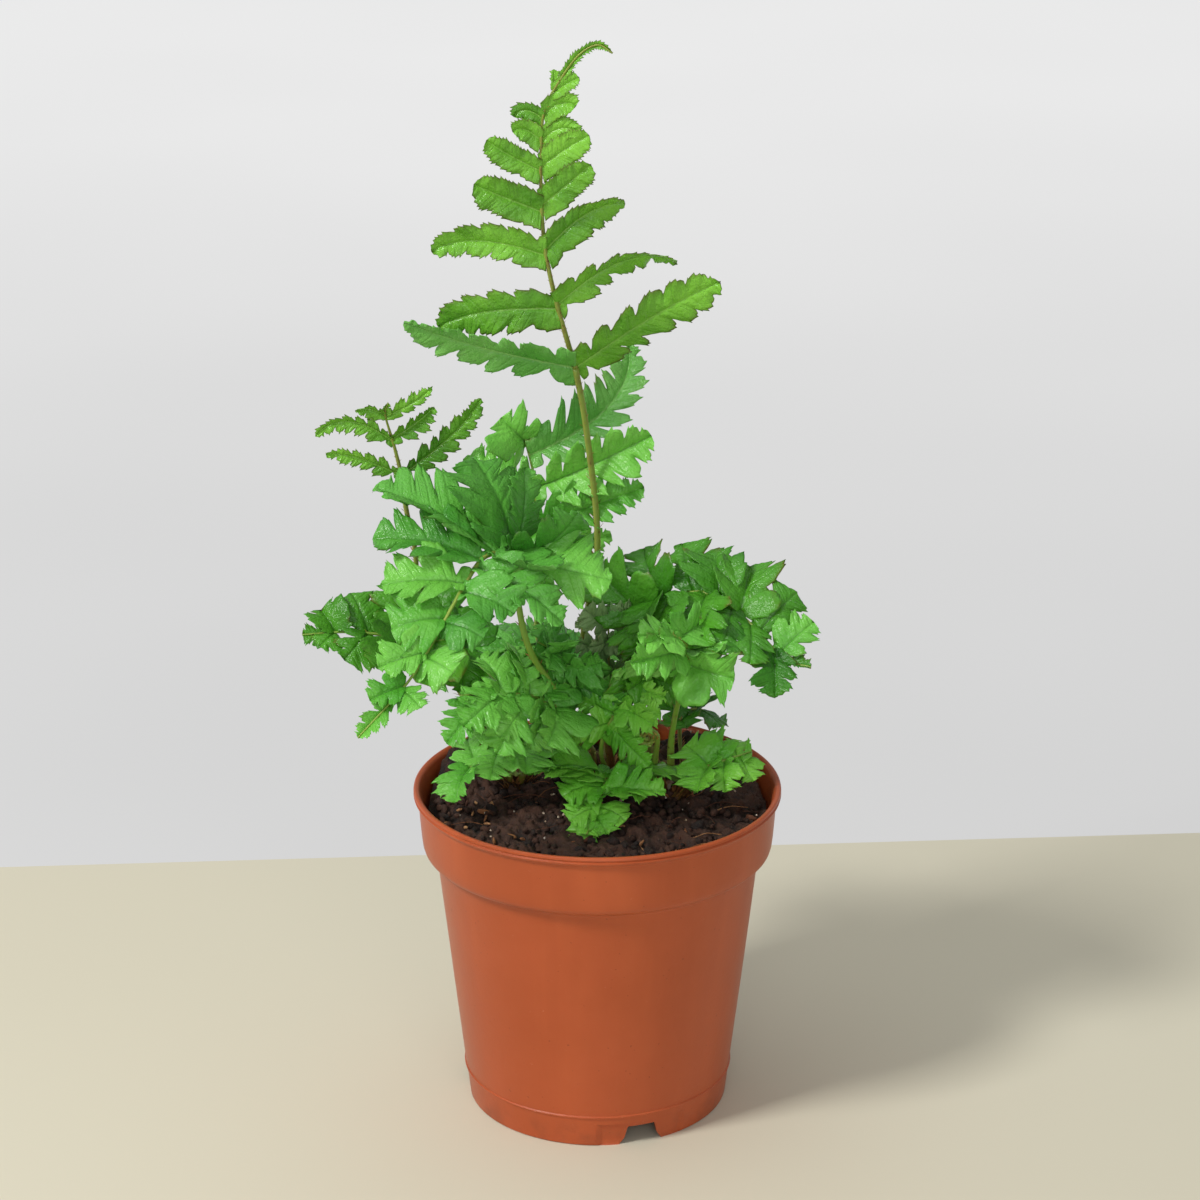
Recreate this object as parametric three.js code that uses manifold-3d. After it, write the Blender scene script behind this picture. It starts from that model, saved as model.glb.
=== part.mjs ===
// A young autumn fern (Dryopteris erythrosora) in a round plastic nursery pot.
// Millimetres, +Z up, the pot standing on z = 0. The front of the plant faces -Y.
import * as THREE from "three";
import { mergeVertices } from "three/addons/utils/BufferGeometryUtils.js";
import Module from "manifold-3d";

const wasm = await Module();
wasm.setup();

// ---------------------------------------------------------------- driving dimensions

const GAP = 0.35; // clear space between neighbouring pieces
const ROUND = 36; // facets around the pot

const POT = {
  height: 96,
  footRadius: 37.5, // outside, on the table
  waistRadius: 46.2, // outside, just under the rim band
  waistHeight: 76,
  bandRadius: 50, // at the band's foot
  bandHeight: 78.5,
  bandEdge: 0.8, // how far the band's lower edge is rounded off
  bandFlare: 1, // how much wider the band is at the lip
  lipRadius: 52.5,
  lipDepth: 2,
  lipEdge: 0.5, // how far the lip is rounded off
  wall: 1.2,
  floorHeight: 9.5, // underside of the floor
};
const NOTCH = { count: 3, firstAngle: -70.5, width: 10, height: 5.7, reach: 12 };
const DRAIN = { radius: 4, ringRadius: 25, cut: 6, facets: 16 };

// The soil's height at the wall and in the middle, and how rounded its mound is.
const SOIL = { edge: 88, crown: 91.5, roundness: 1.5, rings: 5 };

const CROWNS = [
  { name: "crown_main", at: [2, 15], radius: 8.5, rise: 3.5 },
  { name: "crown_right", at: [21.5, 9], radius: 6.5, rise: 3 },
  { name: "crown_left", at: [-24, 14], radius: 6, rise: 3 },
];

const CROWN = { depth: 2, facets: 16, rings: 5 }; // how deep a rootstock sits in the soil

const LEAF_THICKNESS = 0.7;
const STALK = { sides: 6, step: 12 }; // step: millimetres between its bends
const RACHIS = { sides: 4, step: 12, share: 0.8 }; // share: of the stalk's radius
const JOINT = 0.1; // how much more than the gap a stalk stops short of its blade
const COARSEST = 0.25; // how far a blade's surface may move when small facets are merged

// A rachis' narrow leafy end: where it begins, how far the round rachis runs into it, and
// its width.
const TERMINAL = { start: 0.82, overlap: 0.03, width: 5, points: 4 };

// A pinna's lobes: their pitch in millimetres, where in the pitch they are widest, and the
// half width at the pinna's base, at a lobe and between lobes as a share of the pinna's.
const LOBES = { pitch: 14, widest: 0.62, base: 0.25, peak: 0.5, valley: 0.33 };
const TAPER = { start: 0.24, span: 0.7, power: 0.7 };
const PINNA_STEPS = 6;

// Evenly spaced pinnae: the last one's place, the second row's offset, the first pinna's
// angle and how much it falls, how length and width fall, and the sideways sway.
const PAIRED = {
  last: 0.92, offset: 0.02, angle: 68, closing: 18, shorter: 0.85, sooner: 1.6, narrower: 0.6,
  sway: 4, swayRate: 2.4, sweep: -20, lift: 8, curl: -30,
};

// A rolled-up frond: its stalk, the end of its coil, and how far round the coil goes.
const CROZIER = { radius: 0.9, knob: 1.5, coiled: 1.35 * Math.PI, tightening: 0.35, steps: 5 };

// Where the plant's widest points leave the pot's axis, so that the frame's origin is
// under the middle of the whole object's outline.
const AXIS_SHIFT = [11, 1];

// ---------------------------------------------------------------- the fronds
//
// stalk:  points up the bare stalk, from the crown to the lowest pinnae
// rachis: points along the leafy midrib, from the lowest pinnae to the tip
// face:   the way the blade's upper side looks
// pinnae: either [at, tip, width, bow]: the share of the rachis, where its tip is, and
//         how far it bulges to the upper side;
//         or [at, angle, length, width, sweep, lift, curl]: the angle from the rachis,
//         + left and - right, its bend towards the frond's tip, and its slope off the
//         blade's plane, at the start and gained on the way
// pairs:  [count, longest, widest] of evenly spaced pinnae

const FRONDS = [
  {
    name: "tall",
    radius: 1.1,
    face: [0, -1, 0.15],
    stalk: [[4, 16, 94], [1, 15, 119], [-4, 14, 134], [0, 10, 164], [-3, 6, 199], [-6, 3, 218]],
    rachis: [
      [-6, 3, 218], [-11, 0, 237], [-14, -1, 252], [-15, -2, 266], [-15, -3, 280],
      [-14, -4, 291], [-10, -5, 299], [-5, -6, 306], [0, -7, 309], [4, -8, 307],
    ],
    pinnae: [
      [0, 58, 50, 13, 8, 10, -10], [0, -61, 49, 10, -12, 12, 0],
      [0.18, 74, 34, 10, -38, 5, -20], [0.19, -60, 38, 9, -80, 10, -30],
      [0.33, 62, 32, 11, -50, 5, -10], [0.345, -50, 26, 10.5, -50, 5, -10],
      [0.45, 65, 20, 10.5, 5, 5, 0], [0.465, -50, 18, 8.5, 0, 5, 0],
      [0.56, 62, 17, 8.5, 10, 5, 0], [0.57, -50, 16, 8, -12, 5, 0],
      [0.64, 45, 9, 6, -80, 5, 0], [0.64, -42, 12, 6, -110, 5, 0],
      [0.7, 60, 9, 5, -110, 0, 0], [0.71, -34, 10, 7, -90, 0, 0],
      [0.78, -30, 8, 5, 0, 0, 0], [0.79, 35, 5, 3, 0, 0, 0],
    ],
  },
  {
    name: "slender",
    radius: 0.9,
    face: [0.1, -1, 0.2],
    stalk: [
      [-25, 18, 94], [-38, 21, 113], [-48, 22, 131], [-51, 20, 147],
      [-52, 19, 161], [-54, 18, 172], [-55, 16, 183],
    ],
    rachis: [[-55, 16, 183], [-57, 14, 193], [-59, 12, 202], [-58, 10, 206]],
    pinnae: [
      [0, 48, 23, 7, -25, 0, 0], [0, -66, 32, 8, 25, 0, 0],
      [0.45, 36, 25, 6, -100, 0, 0], [0.48, -72, 15, 7, 15, 0, 0],
      [0.8, 50, 9, 4.5, -60, 0, 0], [0.78, -76, 16, 5, 30, 0, 0],
    ],
  },
  {
    name: "arching",
    radius: 1.1,
    face: [-0.1, -0.8, 0.6],
    stalk: [[-1, 9.5, 94], [-11, 0, 122], [-19, -8, 140], [-22, -12, 156], [-23, -15, 168]],
    rachis: [
      [-23, -15, 168], [-26, -19, 172], [-31, -26, 173], [-36, -35, 168],
      [-42, -46, 160], [-50, -56, 149], [-63, -66, 137],
    ],
    pinnae: [
      [0, [-34, -4, 195], 22, 3], [0.01, [-20, -8, 193], 11, 2], [0.02, [-5, -20, 184], 17, 3],
      [0.05, [4, -26, 167], 16, 4], [0.12, [-61, -14, 189], 17, 3], [0.14, [-11, -36, 174], 11, -2],
      [0.2, [-61, -24, 178], 14, 3], [0.24, [-9, -36, 158], 12, 3], [0.32, [-58, -36, 169], 12, 2],
      [0.36, [-22, -42, 163], 12, 2], [0.48, [-55, -46, 160], 12, 2], [0.5, [-30, -50, 159], 11, 2],
      [0.62, [-58, -56, 153], 9, 1], [0.64, [-38, -60, 153], 9, 1], [0.76, [-60, -62, 146], 6, 1],
      [0.78, [-46, -67, 146], 6, 1],
    ],
  },
  {
    name: "back",
    radius: 1,
    face: [0, -0.9, 0.45],
    stalk: [[0, 21, 94], [-12, 21, 117], [-17, 19, 133], [-17, 16, 152], [-17, 15, 160]],
    rachis: [[-17, 15, 160], [-17, 16, 172], [-18, 17, 183], [-20, 19, 191], [-22, 21, 197]],
    pinnae: [
      [0.05, [4, 14, 166], 8, 2], [0.1, [-34, 22, 172], 10, 2], [0.25, [13, 12, 181], 10, 3],
      [0.4, [-38, 22, 186], 12, 2], [0.5, [15, 12, 196], 13, 3],
      [0.75, -82, 46, 12, 75, 0, -15], [0.85, [-27, 16, 200], 12, 2],
    ],
  },
  {
    name: "right",
    radius: 1,
    face: [0.1, -0.5, 0.85],
    stalk: [[18, 12, 94], [12, 12, 112], [10, 11, 130], [14, 9, 143]],
    rachis: [
      [14, 9, 143], [20, 7, 149], [27, 5, 152], [34, 1, 152],
      [42, -5, 147], [52, -13, 139], [59, -17, 138],
    ],
    pinnae: [
      [0, [0, 14, 156], 14, 2], [0.05, [10, -6, 140], 14, 2], [0.12, [13, 20, 160], 14, 2],
      [0.2, [16, -10, 146], 14, 2], [0.28, [24, 18, 162], 13, 2], [0.35, [26, -14, 142], 13, 2],
      [0.42, [33, 14, 161], 12, 2], [0.5, [34, -18, 142], 12, 2], [0.55, [43, 10, 158], 12, 2],
      [0.62, [42, -20, 140], 10, 2], [0.68, [56, 0, 154], 11, 2], [0.78, [49, -24, 132], 9, 1],
      [0.82, [60, -8, 148], 8, 1],
    ],
  },
  {
    name: "left",
    radius: 1,
    face: [-0.1, -0.75, 0.65],
    stalk: [[-6, 15, 94], [-19, 10, 114], [-30, 4, 128], [-38, 0, 137]],
    rachis: [[-38, 0, 137], [-46, -3, 141], [-56, -6, 143], [-69, -8, 145], [-82, -10, 145]],
    pinnae: [
      [0, [-37, 8, 146], 12, 2], [0.02, [-38, -12, 128], 12, 2], [0.15, [-46, 8, 154], 12, 2],
      [0.18, [-50, -18, 134], 12, 2], [0.38, [-58, 4, 156], 11, 2], [0.4, [-61, -18, 138], 10, 2],
      [0.6, [-69, 0, 154], 10, 2], [0.6, [-70, -17, 140], 9, 2], [0.8, [-77, -4, 150], 8, 1],
      [0.8, [-77, -14, 143], 7, 1],
    ],
  },
  {
    name: "right_front",
    radius: 1,
    face: [0, -0.6, 0.8],
    stalk: [[21, 6, 95], [21, 4, 107], [22, 0, 117], [24, -5, 130], [24, -8, 136]],
    rachis: [[24, -8, 136], [25, -12, 141], [23, -16, 146], [17, -20, 150]],
    pinnae: [
      [0, [38, -16, 134], 12, 2], [0.05, [4, -16, 136], 13, 2], [0.35, [34, -12, 145], 10, 2],
      [0.35, [9, -24, 142], 10, 2], [0.65, [28, -10, 148], 9, 1], [0.7, [11, -22, 149], 8, 1],
    ],
  },
  {
    name: "lower_left",
    radius: 0.9,
    face: [-0.1, -0.6, 0.8],
    stalk: [[-5, 11, 95], [-8, 4, 109], [-12, -3, 121]],
    rachis: [[-12, -3, 121], [-19, -8, 126], [-29, -14, 129], [-38, -18, 130]],
    pinnae: [
      [0, [-14, -16, 114], 12, 2], [0.05, [-14, 6, 130], 10, 2], [0.3, [-27, -22, 119], 12, 2],
      [0.3, [-24, 4, 136], 10, 2], [0.6, [-37, -24, 123], 10, 2], [0.6, [-33, -4, 136], 9, 2],
    ],
  },
  {
    name: "front_left",
    radius: 0.8,
    face: [-0.2, -0.5, 0.85],
    stalk: [[-21, 12, 95], [-20, 6, 103], [-22, 2, 107]],
    rachis: [[-22, 2, 107], [-27, -4, 108], [-35, -8, 105], [-45, -10, 97]],
    pinnae: [
      [0, [-20, -12, 104], 10, 2], [0, [-20, 10, 110], 9, 2], [0.3, [-27, 10, 112], 9, 2],
      [0.3, [-30, -17, 104], 9, 2], [0.55, [-37, 4, 108], 9, 2], [0.6, [-40, -19, 98], 8, 2],
    ],
  },
  {
    name: "front",
    radius: 0.8,
    face: [0, -0.5, 0.85],
    stalk: [[6, 9, 96], [5, 4, 99], [3, -1, 99]],
    rachis: [[3, -1, 99], [2, -8, 99], [0, -18, 96], [-3, -27, 92]],
    pinnae: [
      [0, [-16, -6, 103], 13, 2], [0.02, [34, 2, 95], 10, 4], [0.3, [-10, -14, 98], 10, 2],
      [0.3, [14, -14, 98], 11, 2], [0.6, [-8, -22, 94], 8, 1], [0.6, [8, -22, 94], 8, 1],
    ],
  },
  {
    name: "front_right",
    radius: 0.8,
    face: [0.1, -0.4, 0.9],
    stalk: [[24.5, 7, 95], [28, 4, 99], [32, 1, 101]],
    rachis: [[32, 1, 101], [36, 0, 103], [40, 1, 104], [44, 2, 105]],
    pinnae: [
      [0, [25, 5, 106], 9, 1], [0, [28, -9, 97], 9, 1], [0.3, [31, 9, 107], 8, 1],
      [0.35, [36, -9, 97], 8, 1], [0.65, [38, 9, 106], 7, 1], [0.7, [44, -6, 99], 6, 1],
    ],
  },
  {
    name: "young",
    radius: 0.8,
    face: [0, -0.8, 0.6],
    stalk: [[2.5, 10.5, 95], [1, 4, 104], [2, 1, 112]],
    rachis: [[2, 1, 112], [5, 0, 117], [9, 1, 123], [14, 2, 129]],
    pinnae: [
      [0, [-10, 0, 113], 8, 1], [0, [12, -5, 112], 8, 1], [0.3, [-6, 5, 121], 7, 1],
      [0.3, [18, -4, 119], 8, 1], [0.6, [2, 5, 127], 6, 1], [0.6, [17, 2, 124], 6, 1],
    ],
  },
  {
    name: "back_right",
    radius: 0.8,
    face: [0, -0.3, 0.95],
    stalk: [[25, 14, 94], [24, 22, 99], [24, 28, 104]],
    rachis: [[24, 28, 104], [28, 32, 106], [34, 35, 103], [38, 37, 99]],
    pinnae: [
      [0, [18, 33, 111], 9, 1], [0, [26, 22, 104], 8, 1], [0.35, [29, 41, 106], 8, 1],
      [0.4, [36, 28, 102], 8, 1],
    ],
  },
  {
    name: "inner_dark",
    radius: 0.8,
    face: [0, -0.8, 0.6],
    stalk: [[-2, 17, 95], [-7, 12, 112], [-6, 6, 122]],
    rachis: [[-6, 6, 122], [-8, 2, 130], [-12, 0, 136], [-17, -2, 140]],
    pinnae: [
      [0, [-20, -2, 124], 10, 1], [0, [6, 2, 124], 11, 1], [0.35, [-22, 2, 132], 9, 1],
      [0.35, [2, -2, 134], 10, 1], [0.7, [-14, 4, 143], 8, 1], [0.7, [-8, -6, 142], 8, 1],
    ],
  },
  {
    name: "inner_grey",
    radius: 0.8,
    face: [0, -1, 0.3],
    stalk: [[7, 15, 95], [6, 14, 112], [4, 12, 124]],
    rachis: [[4, 12, 124], [3, 11, 132], [3, 10, 140], [1, 10, 146]],
    pinnae: [
      [0, [-4, 10, 126], 8, 1], [0, [11, 8, 128], 8, 1], [0.4, [-6, 8, 136], 7, 1],
      [0.4, [11, 6, 138], 7, 1], [0.75, [-4, 8, 146], 6, 1], [0.75, [8, 8, 146], 6, 1],
    ],
  },
  {
    name: "inner_right",
    radius: 0.8,
    face: [0, -0.8, 0.6],
    stalk: [[14, 6, 94], [13, 6, 112], [14, 4, 126]],
    rachis: [[14, 4, 126], [15, 2, 133], [18, 1, 139], [22, 0, 143]],
    pinnae: [
      [0, [4, -2, 130], 10, 1], [0, [26, 0, 128], 10, 1], [0.4, [8, 2, 140], 8, 1],
      [0.4, [28, -3, 134], 8, 1],
    ],
  },
  {
    name: "rear_left",
    radius: 0.9,
    face: [-0.2, 0.1, 1],
    stalk: [[-5, 20.5, 94], [-10, 30, 106], [-15, 38, 114]],
    rachis: [[-15, 38, 114], [-20, 45, 119], [-26, 51, 121], [-33, 57, 120], [-40, 62, 116]],
    pairs: [5, 20, 11],
  },
  {
    name: "rear_right",
    radius: 0.9,
    face: [0.2, 0.1, 1],
    stalk: [[8, 20, 94], [12, 30, 108], [15, 37, 116]],
    rachis: [[15, 37, 116], [19, 43, 121], [24, 50, 123], [29, 57, 122], [34, 63, 117]],
    pairs: [5, 20, 11],
  },
  {
    name: "rear_low",
    radius: 0.8,
    face: [0, 0.1, 1],
    stalk: [[2, 22, 94], [1, 32, 101], [-1, 40, 105]],
    rachis: [[-1, 40, 105], [-2, 46, 107], [-2, 53, 106], [-1, 60, 101]],
    pairs: [4, 16, 9],
  },
  {
    name: "small",
    radius: 0.7,
    face: [-0.2, -0.9, 0.5],
    stalk: [[-8, 13, 94], [-13, 7, 98], [-16, 3, 101]],
    rachis: [[-16, 3, 101], [-17, 1, 104], [-18, 0, 107]],
    pinnae: [
      [0, [-22, 1, 104], 6, 1], [0, [-11, 0, 103], 6, 1],
      [0.5, [-21, 0, 109], 5, 1], [0.5, [-14, -1, 109], 5, 1],
    ],
  },
  {
    name: "seedling",
    radius: 0.6,
    face: [-0.2, -0.7, 0.7],
    stalk: [[-27.5, 11, 94], [-28, 8, 95.5]],
    rachis: [[-28, 8, 95.5], [-29, 5, 97], [-30, 2, 98]],
    pinnae: [
      [0, [-33, 7, 97], 4, 0.5], [0, [-23, 5, 96.5], 4, 0.5],
      [0.5, [-34, 3, 98], 4, 0.5], [0.5, [-25, 1, 98], 4, 0.5],
    ],
  },
];

const CROZIERS = [
  { name: "crozier_left", base: [-9, 16, 94], top: [-14, 5, 112], coil: 2.8, turn: 1 },
  { name: "crozier_right", base: [16, 8, 94], top: [17, 2, 109], coil: 2.8, turn: -1 },
];

// ---------------------------------------------------------------- solids

// A closed solid from a three.js geometry, turned inside out if its faces point inwards.
function solidOf(geometry) {
  const bare = geometry.index ? geometry.toNonIndexed() : geometry.clone();
  bare.deleteAttribute("normal");
  bare.deleteAttribute("uv");
  const merged = mergeVertices(bare, 1e-4);
  const vertProperties = new Float32Array(merged.attributes.position.array);
  const triVerts = new Uint32Array(merged.index.array);
  if (signedVolume(vertProperties, triVerts) < 0) {
    for (let i = 0; i < triVerts.length; i += 3) {
      [triVerts[i], triVerts[i + 1]] = [triVerts[i + 1], triVerts[i]];
    }
  }
  return new wasm.Manifold(new wasm.Mesh({ numProp: 3, vertProperties, triVerts }));
}

function signedVolume(points, triangles) {
  const corner = (k) => new THREE.Vector3().fromArray(points, 3 * triangles[k]);
  let volume = 0;
  for (let i = 0; i < triangles.length; i += 3) {
    volume += corner(i).dot(corner(i + 1).cross(corner(i + 2))) / 6;
  }
  return volume;
}

function geometryOf(solid) {
  const mesh = solid.getMesh();
  const geometry = new THREE.BufferGeometry();
  geometry.setAttribute("position", new THREE.BufferAttribute(mesh.vertProperties, 3));
  geometry.setIndex(new THREE.BufferAttribute(mesh.triVerts, 1));
  geometry.computeVertexNormals();
  return geometry;
}

// The largest of the separate bodies in a solid.
function largestBody(solid) {
  const bodies = solid.decompose();
  return bodies.reduce((best, body) => (body.volume() > best.volume() ? body : best));
}

function turned(profile, facets = ROUND) {
  const points = profile.map(([r, z]) => new THREE.Vector2(r, z));
  return solidOf(new THREE.LatheGeometry(points, facets).rotateX(Math.PI / 2));
}

function curveThrough(points) {
  const knots = points.map((p) => new THREE.Vector3(...p));
  return new THREE.CatmullRomCurve3(knots, false, "catmullrom", 0.5);
}

// A closed tube along a curve, each end reaching `beyond` past the curve's own.
function tube(curve, radius, steps, sides, beyond = 0) {
  const points = curve.getSpacedPoints(steps);
  points[0].addScaledVector(curve.getTangentAt(0), -beyond);
  points[steps].addScaledVector(curve.getTangentAt(1), beyond);
  const path = new THREE.CatmullRomCurve3(points, false, "catmullrom", 0.5);
  const section = new THREE.Shape();
  for (let k = 0; k < sides; k += 1) {
    const angle = (2 * Math.PI * k) / sides;
    const corner = [radius * Math.cos(angle), radius * Math.sin(angle)];
    if (k === 0) {
      section.moveTo(...corner);
    } else {
      section.lineTo(...corner);
    }
  }
  return solidOf(new THREE.ExtrudeGeometry(section, { steps, extrudePath: path }));
}

// ---------------------------------------------------------------- pot and soil

function buildPot() {
  const { wall, floorHeight, height, bandEdge, lipEdge } = POT;
  const bandTop = POT.bandRadius + POT.bandFlare;
  const lipFoot = height - POT.lipDepth;
  const slope = (POT.waistRadius - POT.footRadius) / POT.waistHeight;
  const outside = (z) => POT.footRadius + slope * z;
  const floorTop = floorHeight + wall;
  let pot = turned([
    [0, floorHeight],
    [outside(floorHeight) - wall, floorHeight],
    [outside(0) - wall, 0],
    [outside(0), 0],
    [outside(floorHeight), floorHeight],
    [POT.waistRadius, POT.waistHeight],
    [POT.bandRadius - bandEdge, POT.waistHeight + bandEdge],
    [POT.bandRadius, POT.bandHeight],
    [bandTop, lipFoot - lipEdge],
    [POT.lipRadius, lipFoot],
    [POT.lipRadius, height - lipEdge],
    [POT.lipRadius - lipEdge, height],
    [POT.lipRadius - wall, height],
    [bandTop - wall, lipFoot],
    [POT.bandRadius - wall, POT.bandHeight + wall],
    [POT.waistRadius - wall, POT.waistHeight + wall],
    [outside(floorTop) - wall, floorTop],
    [0, floorTop],
  ]);
  for (let k = 0; k < NOTCH.count; k += 1) {
    const angle = THREE.MathUtils.degToRad(NOTCH.firstAngle + (360 / NOTCH.count) * k);
    const notch = new THREE.BoxGeometry(NOTCH.reach, NOTCH.width, 2 * NOTCH.height);
    notch.translate(POT.footRadius, 0, 0).rotateZ(angle);
    const drain = new THREE.CylinderGeometry(DRAIN.radius, DRAIN.radius, DRAIN.cut, DRAIN.facets);
    drain.rotateX(Math.PI / 2).translate(DRAIN.ringRadius, 0, floorHeight).rotateZ(angle);
    pot = pot.subtract(solidOf(notch)).subtract(solidOf(drain));
  }
  return pot;
}

// The soil's surface: level at the wall, mounded around the crowns.
function soilHeight(r) {
  const t = Math.min(r / (POT.bandRadius - POT.wall), 1);
  return SOIL.edge + (SOIL.crown - SOIL.edge) * Math.cos((Math.PI / 2) * t) ** SOIL.roundness;
}

// Grown by `grow` on its upper side, to keep the crowns and stalks clear of it.
function buildSoil(grow = 0) {
  const { wall, floorHeight } = POT;
  const slope = (POT.waistRadius - POT.footRadius) / POT.waistHeight;
  const bottom = floorHeight + wall + GAP;
  const inset = wall + 2 * GAP;
  const edgeRadius = POT.bandRadius - inset;
  const profile = [
    [0, bottom],
    [POT.footRadius + slope * bottom - inset, bottom],
    [POT.waistRadius - inset, POT.waistHeight + wall],
    [edgeRadius, POT.bandHeight + 2 * wall],
  ];
  for (let k = SOIL.rings; k >= 0; k -= 1) {
    const r = (edgeRadius * k) / SOIL.rings;
    profile.push([r, soilHeight(r) + grow]);
  }
  return turned(profile, ROUND / 2);
}

function buildCrown({ at, radius, rise }, grow = 0) {
  const foot = SOIL.edge - CROWN.depth;
  const top = soilHeight(Math.hypot(...at)) + rise;
  const profile = [[0, foot], [radius + grow, foot]];
  for (let k = 0; k <= CROWN.rings; k += 1) {
    const angle = (Math.PI / 2) * (k / CROWN.rings);
    const z = SOIL.edge + (top - SOIL.edge + grow) * Math.sin(angle);
    profile.push([(radius + grow) * Math.cos(angle), z]);
  }
  return turned(profile, CROWN.facets).translate([at[0], at[1], 0]);
}

// ---------------------------------------------------------------- fronds

// The rachis direction T, the blade's upper side N and the sideways S at a share of it.
function bladeFrame(curve, at, face) {
  const T = curve.getTangentAt(at);
  const N = new THREE.Vector3(...face);
  N.addScaledVector(T, -N.dot(T)).normalize();
  return { P: curve.getPointAt(at), T, N, S: new THREE.Vector3().crossVectors(T, N) };
}

// Evenly spaced pinnae, shorter and more forward towards the tip.
function pairedPinnae([count, longest, widest]) {
  const { sweep, lift, curl } = PAIRED;
  const rows = [];
  for (let k = 0; k < count; k += 1) {
    const t = k / count;
    const at = PAIRED.last * t;
    const angle = PAIRED.angle - PAIRED.closing * t;
    const sway = PAIRED.sway * Math.sin(PAIRED.swayRate * k);
    const length = longest * (1 - PAIRED.shorter * t ** PAIRED.sooner);
    const width = widest * (1 - PAIRED.narrower * t);
    rows.push([at, sway + angle, length, width, sweep, lift, curl]);
    rows.push([at + PAIRED.offset, sway - angle, length, width, sweep, lift, curl]);
  }
  return rows;
}

// A pinna's midrib as a line of points, with its width and the side it faces.
function pinnaLine(curve, face, row) {
  const steps = PINNA_STEPS;
  const { P, T, N, S } = bladeFrame(curve, row[0], face);
  const line = [P.clone()];
  if (Array.isArray(row[1])) {
    const [, tipPoint, width, bow] = row;
    const tip = new THREE.Vector3(...tipPoint);
    const along = tip.clone().sub(P).normalize();
    const up = N.clone().addScaledVector(along, -N.dot(along)).normalize();
    const middle = P.clone().add(tip).multiplyScalar(0.5).addScaledVector(up, 2 * bow);
    const bend = new THREE.QuadraticBezierCurve3(P, middle, tip);
    return { line: bend.getPoints(steps), up, width };
  }
  const [, angle, length, width, sweep, lift, curl] = row;
  const side = angle > 0 ? -1 : 1;
  for (let k = 0; k < steps; k += 1) {
    const t = (k + 0.5) / steps;
    const turn = THREE.MathUtils.degToRad(Math.abs(angle) - sweep * t * t);
    const slope = THREE.MathUtils.degToRad(lift + curl * t);
    const step = T.clone().multiplyScalar(Math.cos(turn) * Math.cos(slope));
    step.addScaledVector(S, side * Math.sin(turn) * Math.cos(slope));
    step.addScaledVector(N, Math.sin(slope));
    line.push(line[k].clone().addScaledVector(step, length / steps));
  }
  return { line, up: N, width };
}

// The flat outline of a pinna: x along it from 0 to 1, y across it, with rounded lobes.
function pinnaOutline(length, width, grow) {
  const lobes = Math.max(1, Math.round(length / LOBES.pitch));
  const taper = (t) => {
    return Math.sin(Math.PI * Math.min(1, TAPER.start + TAPER.span * t)) ** TAPER.power;
  };
  const side = [[0, LOBES.base * width + grow]];
  for (let k = 0; k < lobes; k += 1) {
    const peak = (k + LOBES.widest) / lobes;
    const valley = (k + 1) / lobes;
    side.push([peak, LOBES.peak * width * taper(peak) + grow]);
    if (k < lobes - 1) {
      side.push([valley, LOBES.valley * width * taper(valley) + grow]);
    }
  }
  const shape = new THREE.Shape();
  shape.moveTo(...side[0]);
  side.slice(1).forEach(([x, y]) => shape.lineTo(x, y));
  shape.lineTo(1 + grow / length, 0);
  side.reverse().forEach(([x, y]) => shape.lineTo(x, -y));
  return shape;
}

// A pinna as a thin plate, bent along its midrib.
function pinnaPlate({ line, up, width }, grow = 0) {
  const bend = new THREE.CatmullRomCurve3(line, false, "catmullrom", 0.5);
  const length = bend.getLength();
  const thickness = LEAF_THICKNESS + 2 * grow;
  const flat = new THREE.ExtrudeGeometry(pinnaOutline(length, width, grow), {
    depth: thickness,
    bevelEnabled: false,
    steps: 1,
  });
  const position = flat.attributes.position;
  for (let i = 0; i < position.count; i += 1) {
    const [x, y, z] = [position.getX(i), position.getY(i), position.getZ(i)];
    const share = Math.min(x, 1);
    const along = bend.getTangentAt(share);
    const over = up.clone().addScaledVector(along, -up.dot(along)).normalize();
    const point = bend.getPointAt(share).addScaledVector(along, (x - share) * length);
    point.addScaledVector(over, z - thickness / 2);
    point.addScaledVector(along.cross(over), y);
    position.setXYZ(i, point.x, point.y, point.z);
  }
  return solidOf(flat);
}

// The narrow leafy end of a rachis, beyond its last pinnae.
function terminalLine(curve, face) {
  const { start, points, width } = TERMINAL;
  const line = [];
  for (let k = 0; k < points; k += 1) {
    line.push(curve.getPointAt(start + ((1 - start) * k) / (points - 1)));
  }
  return { line, up: bladeFrame(curve, start, face).N, width };
}

// The curve through evenly spaced points of the first part of another.
function firstPart(curve, share, steps) {
  const points = [];
  for (let k = 0; k <= steps; k += 1) {
    points.push(curve.getPointAt((share * k) / steps));
  }
  return new THREE.CatmullRomCurve3(points, false, "catmullrom", 0.5);
}

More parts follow.
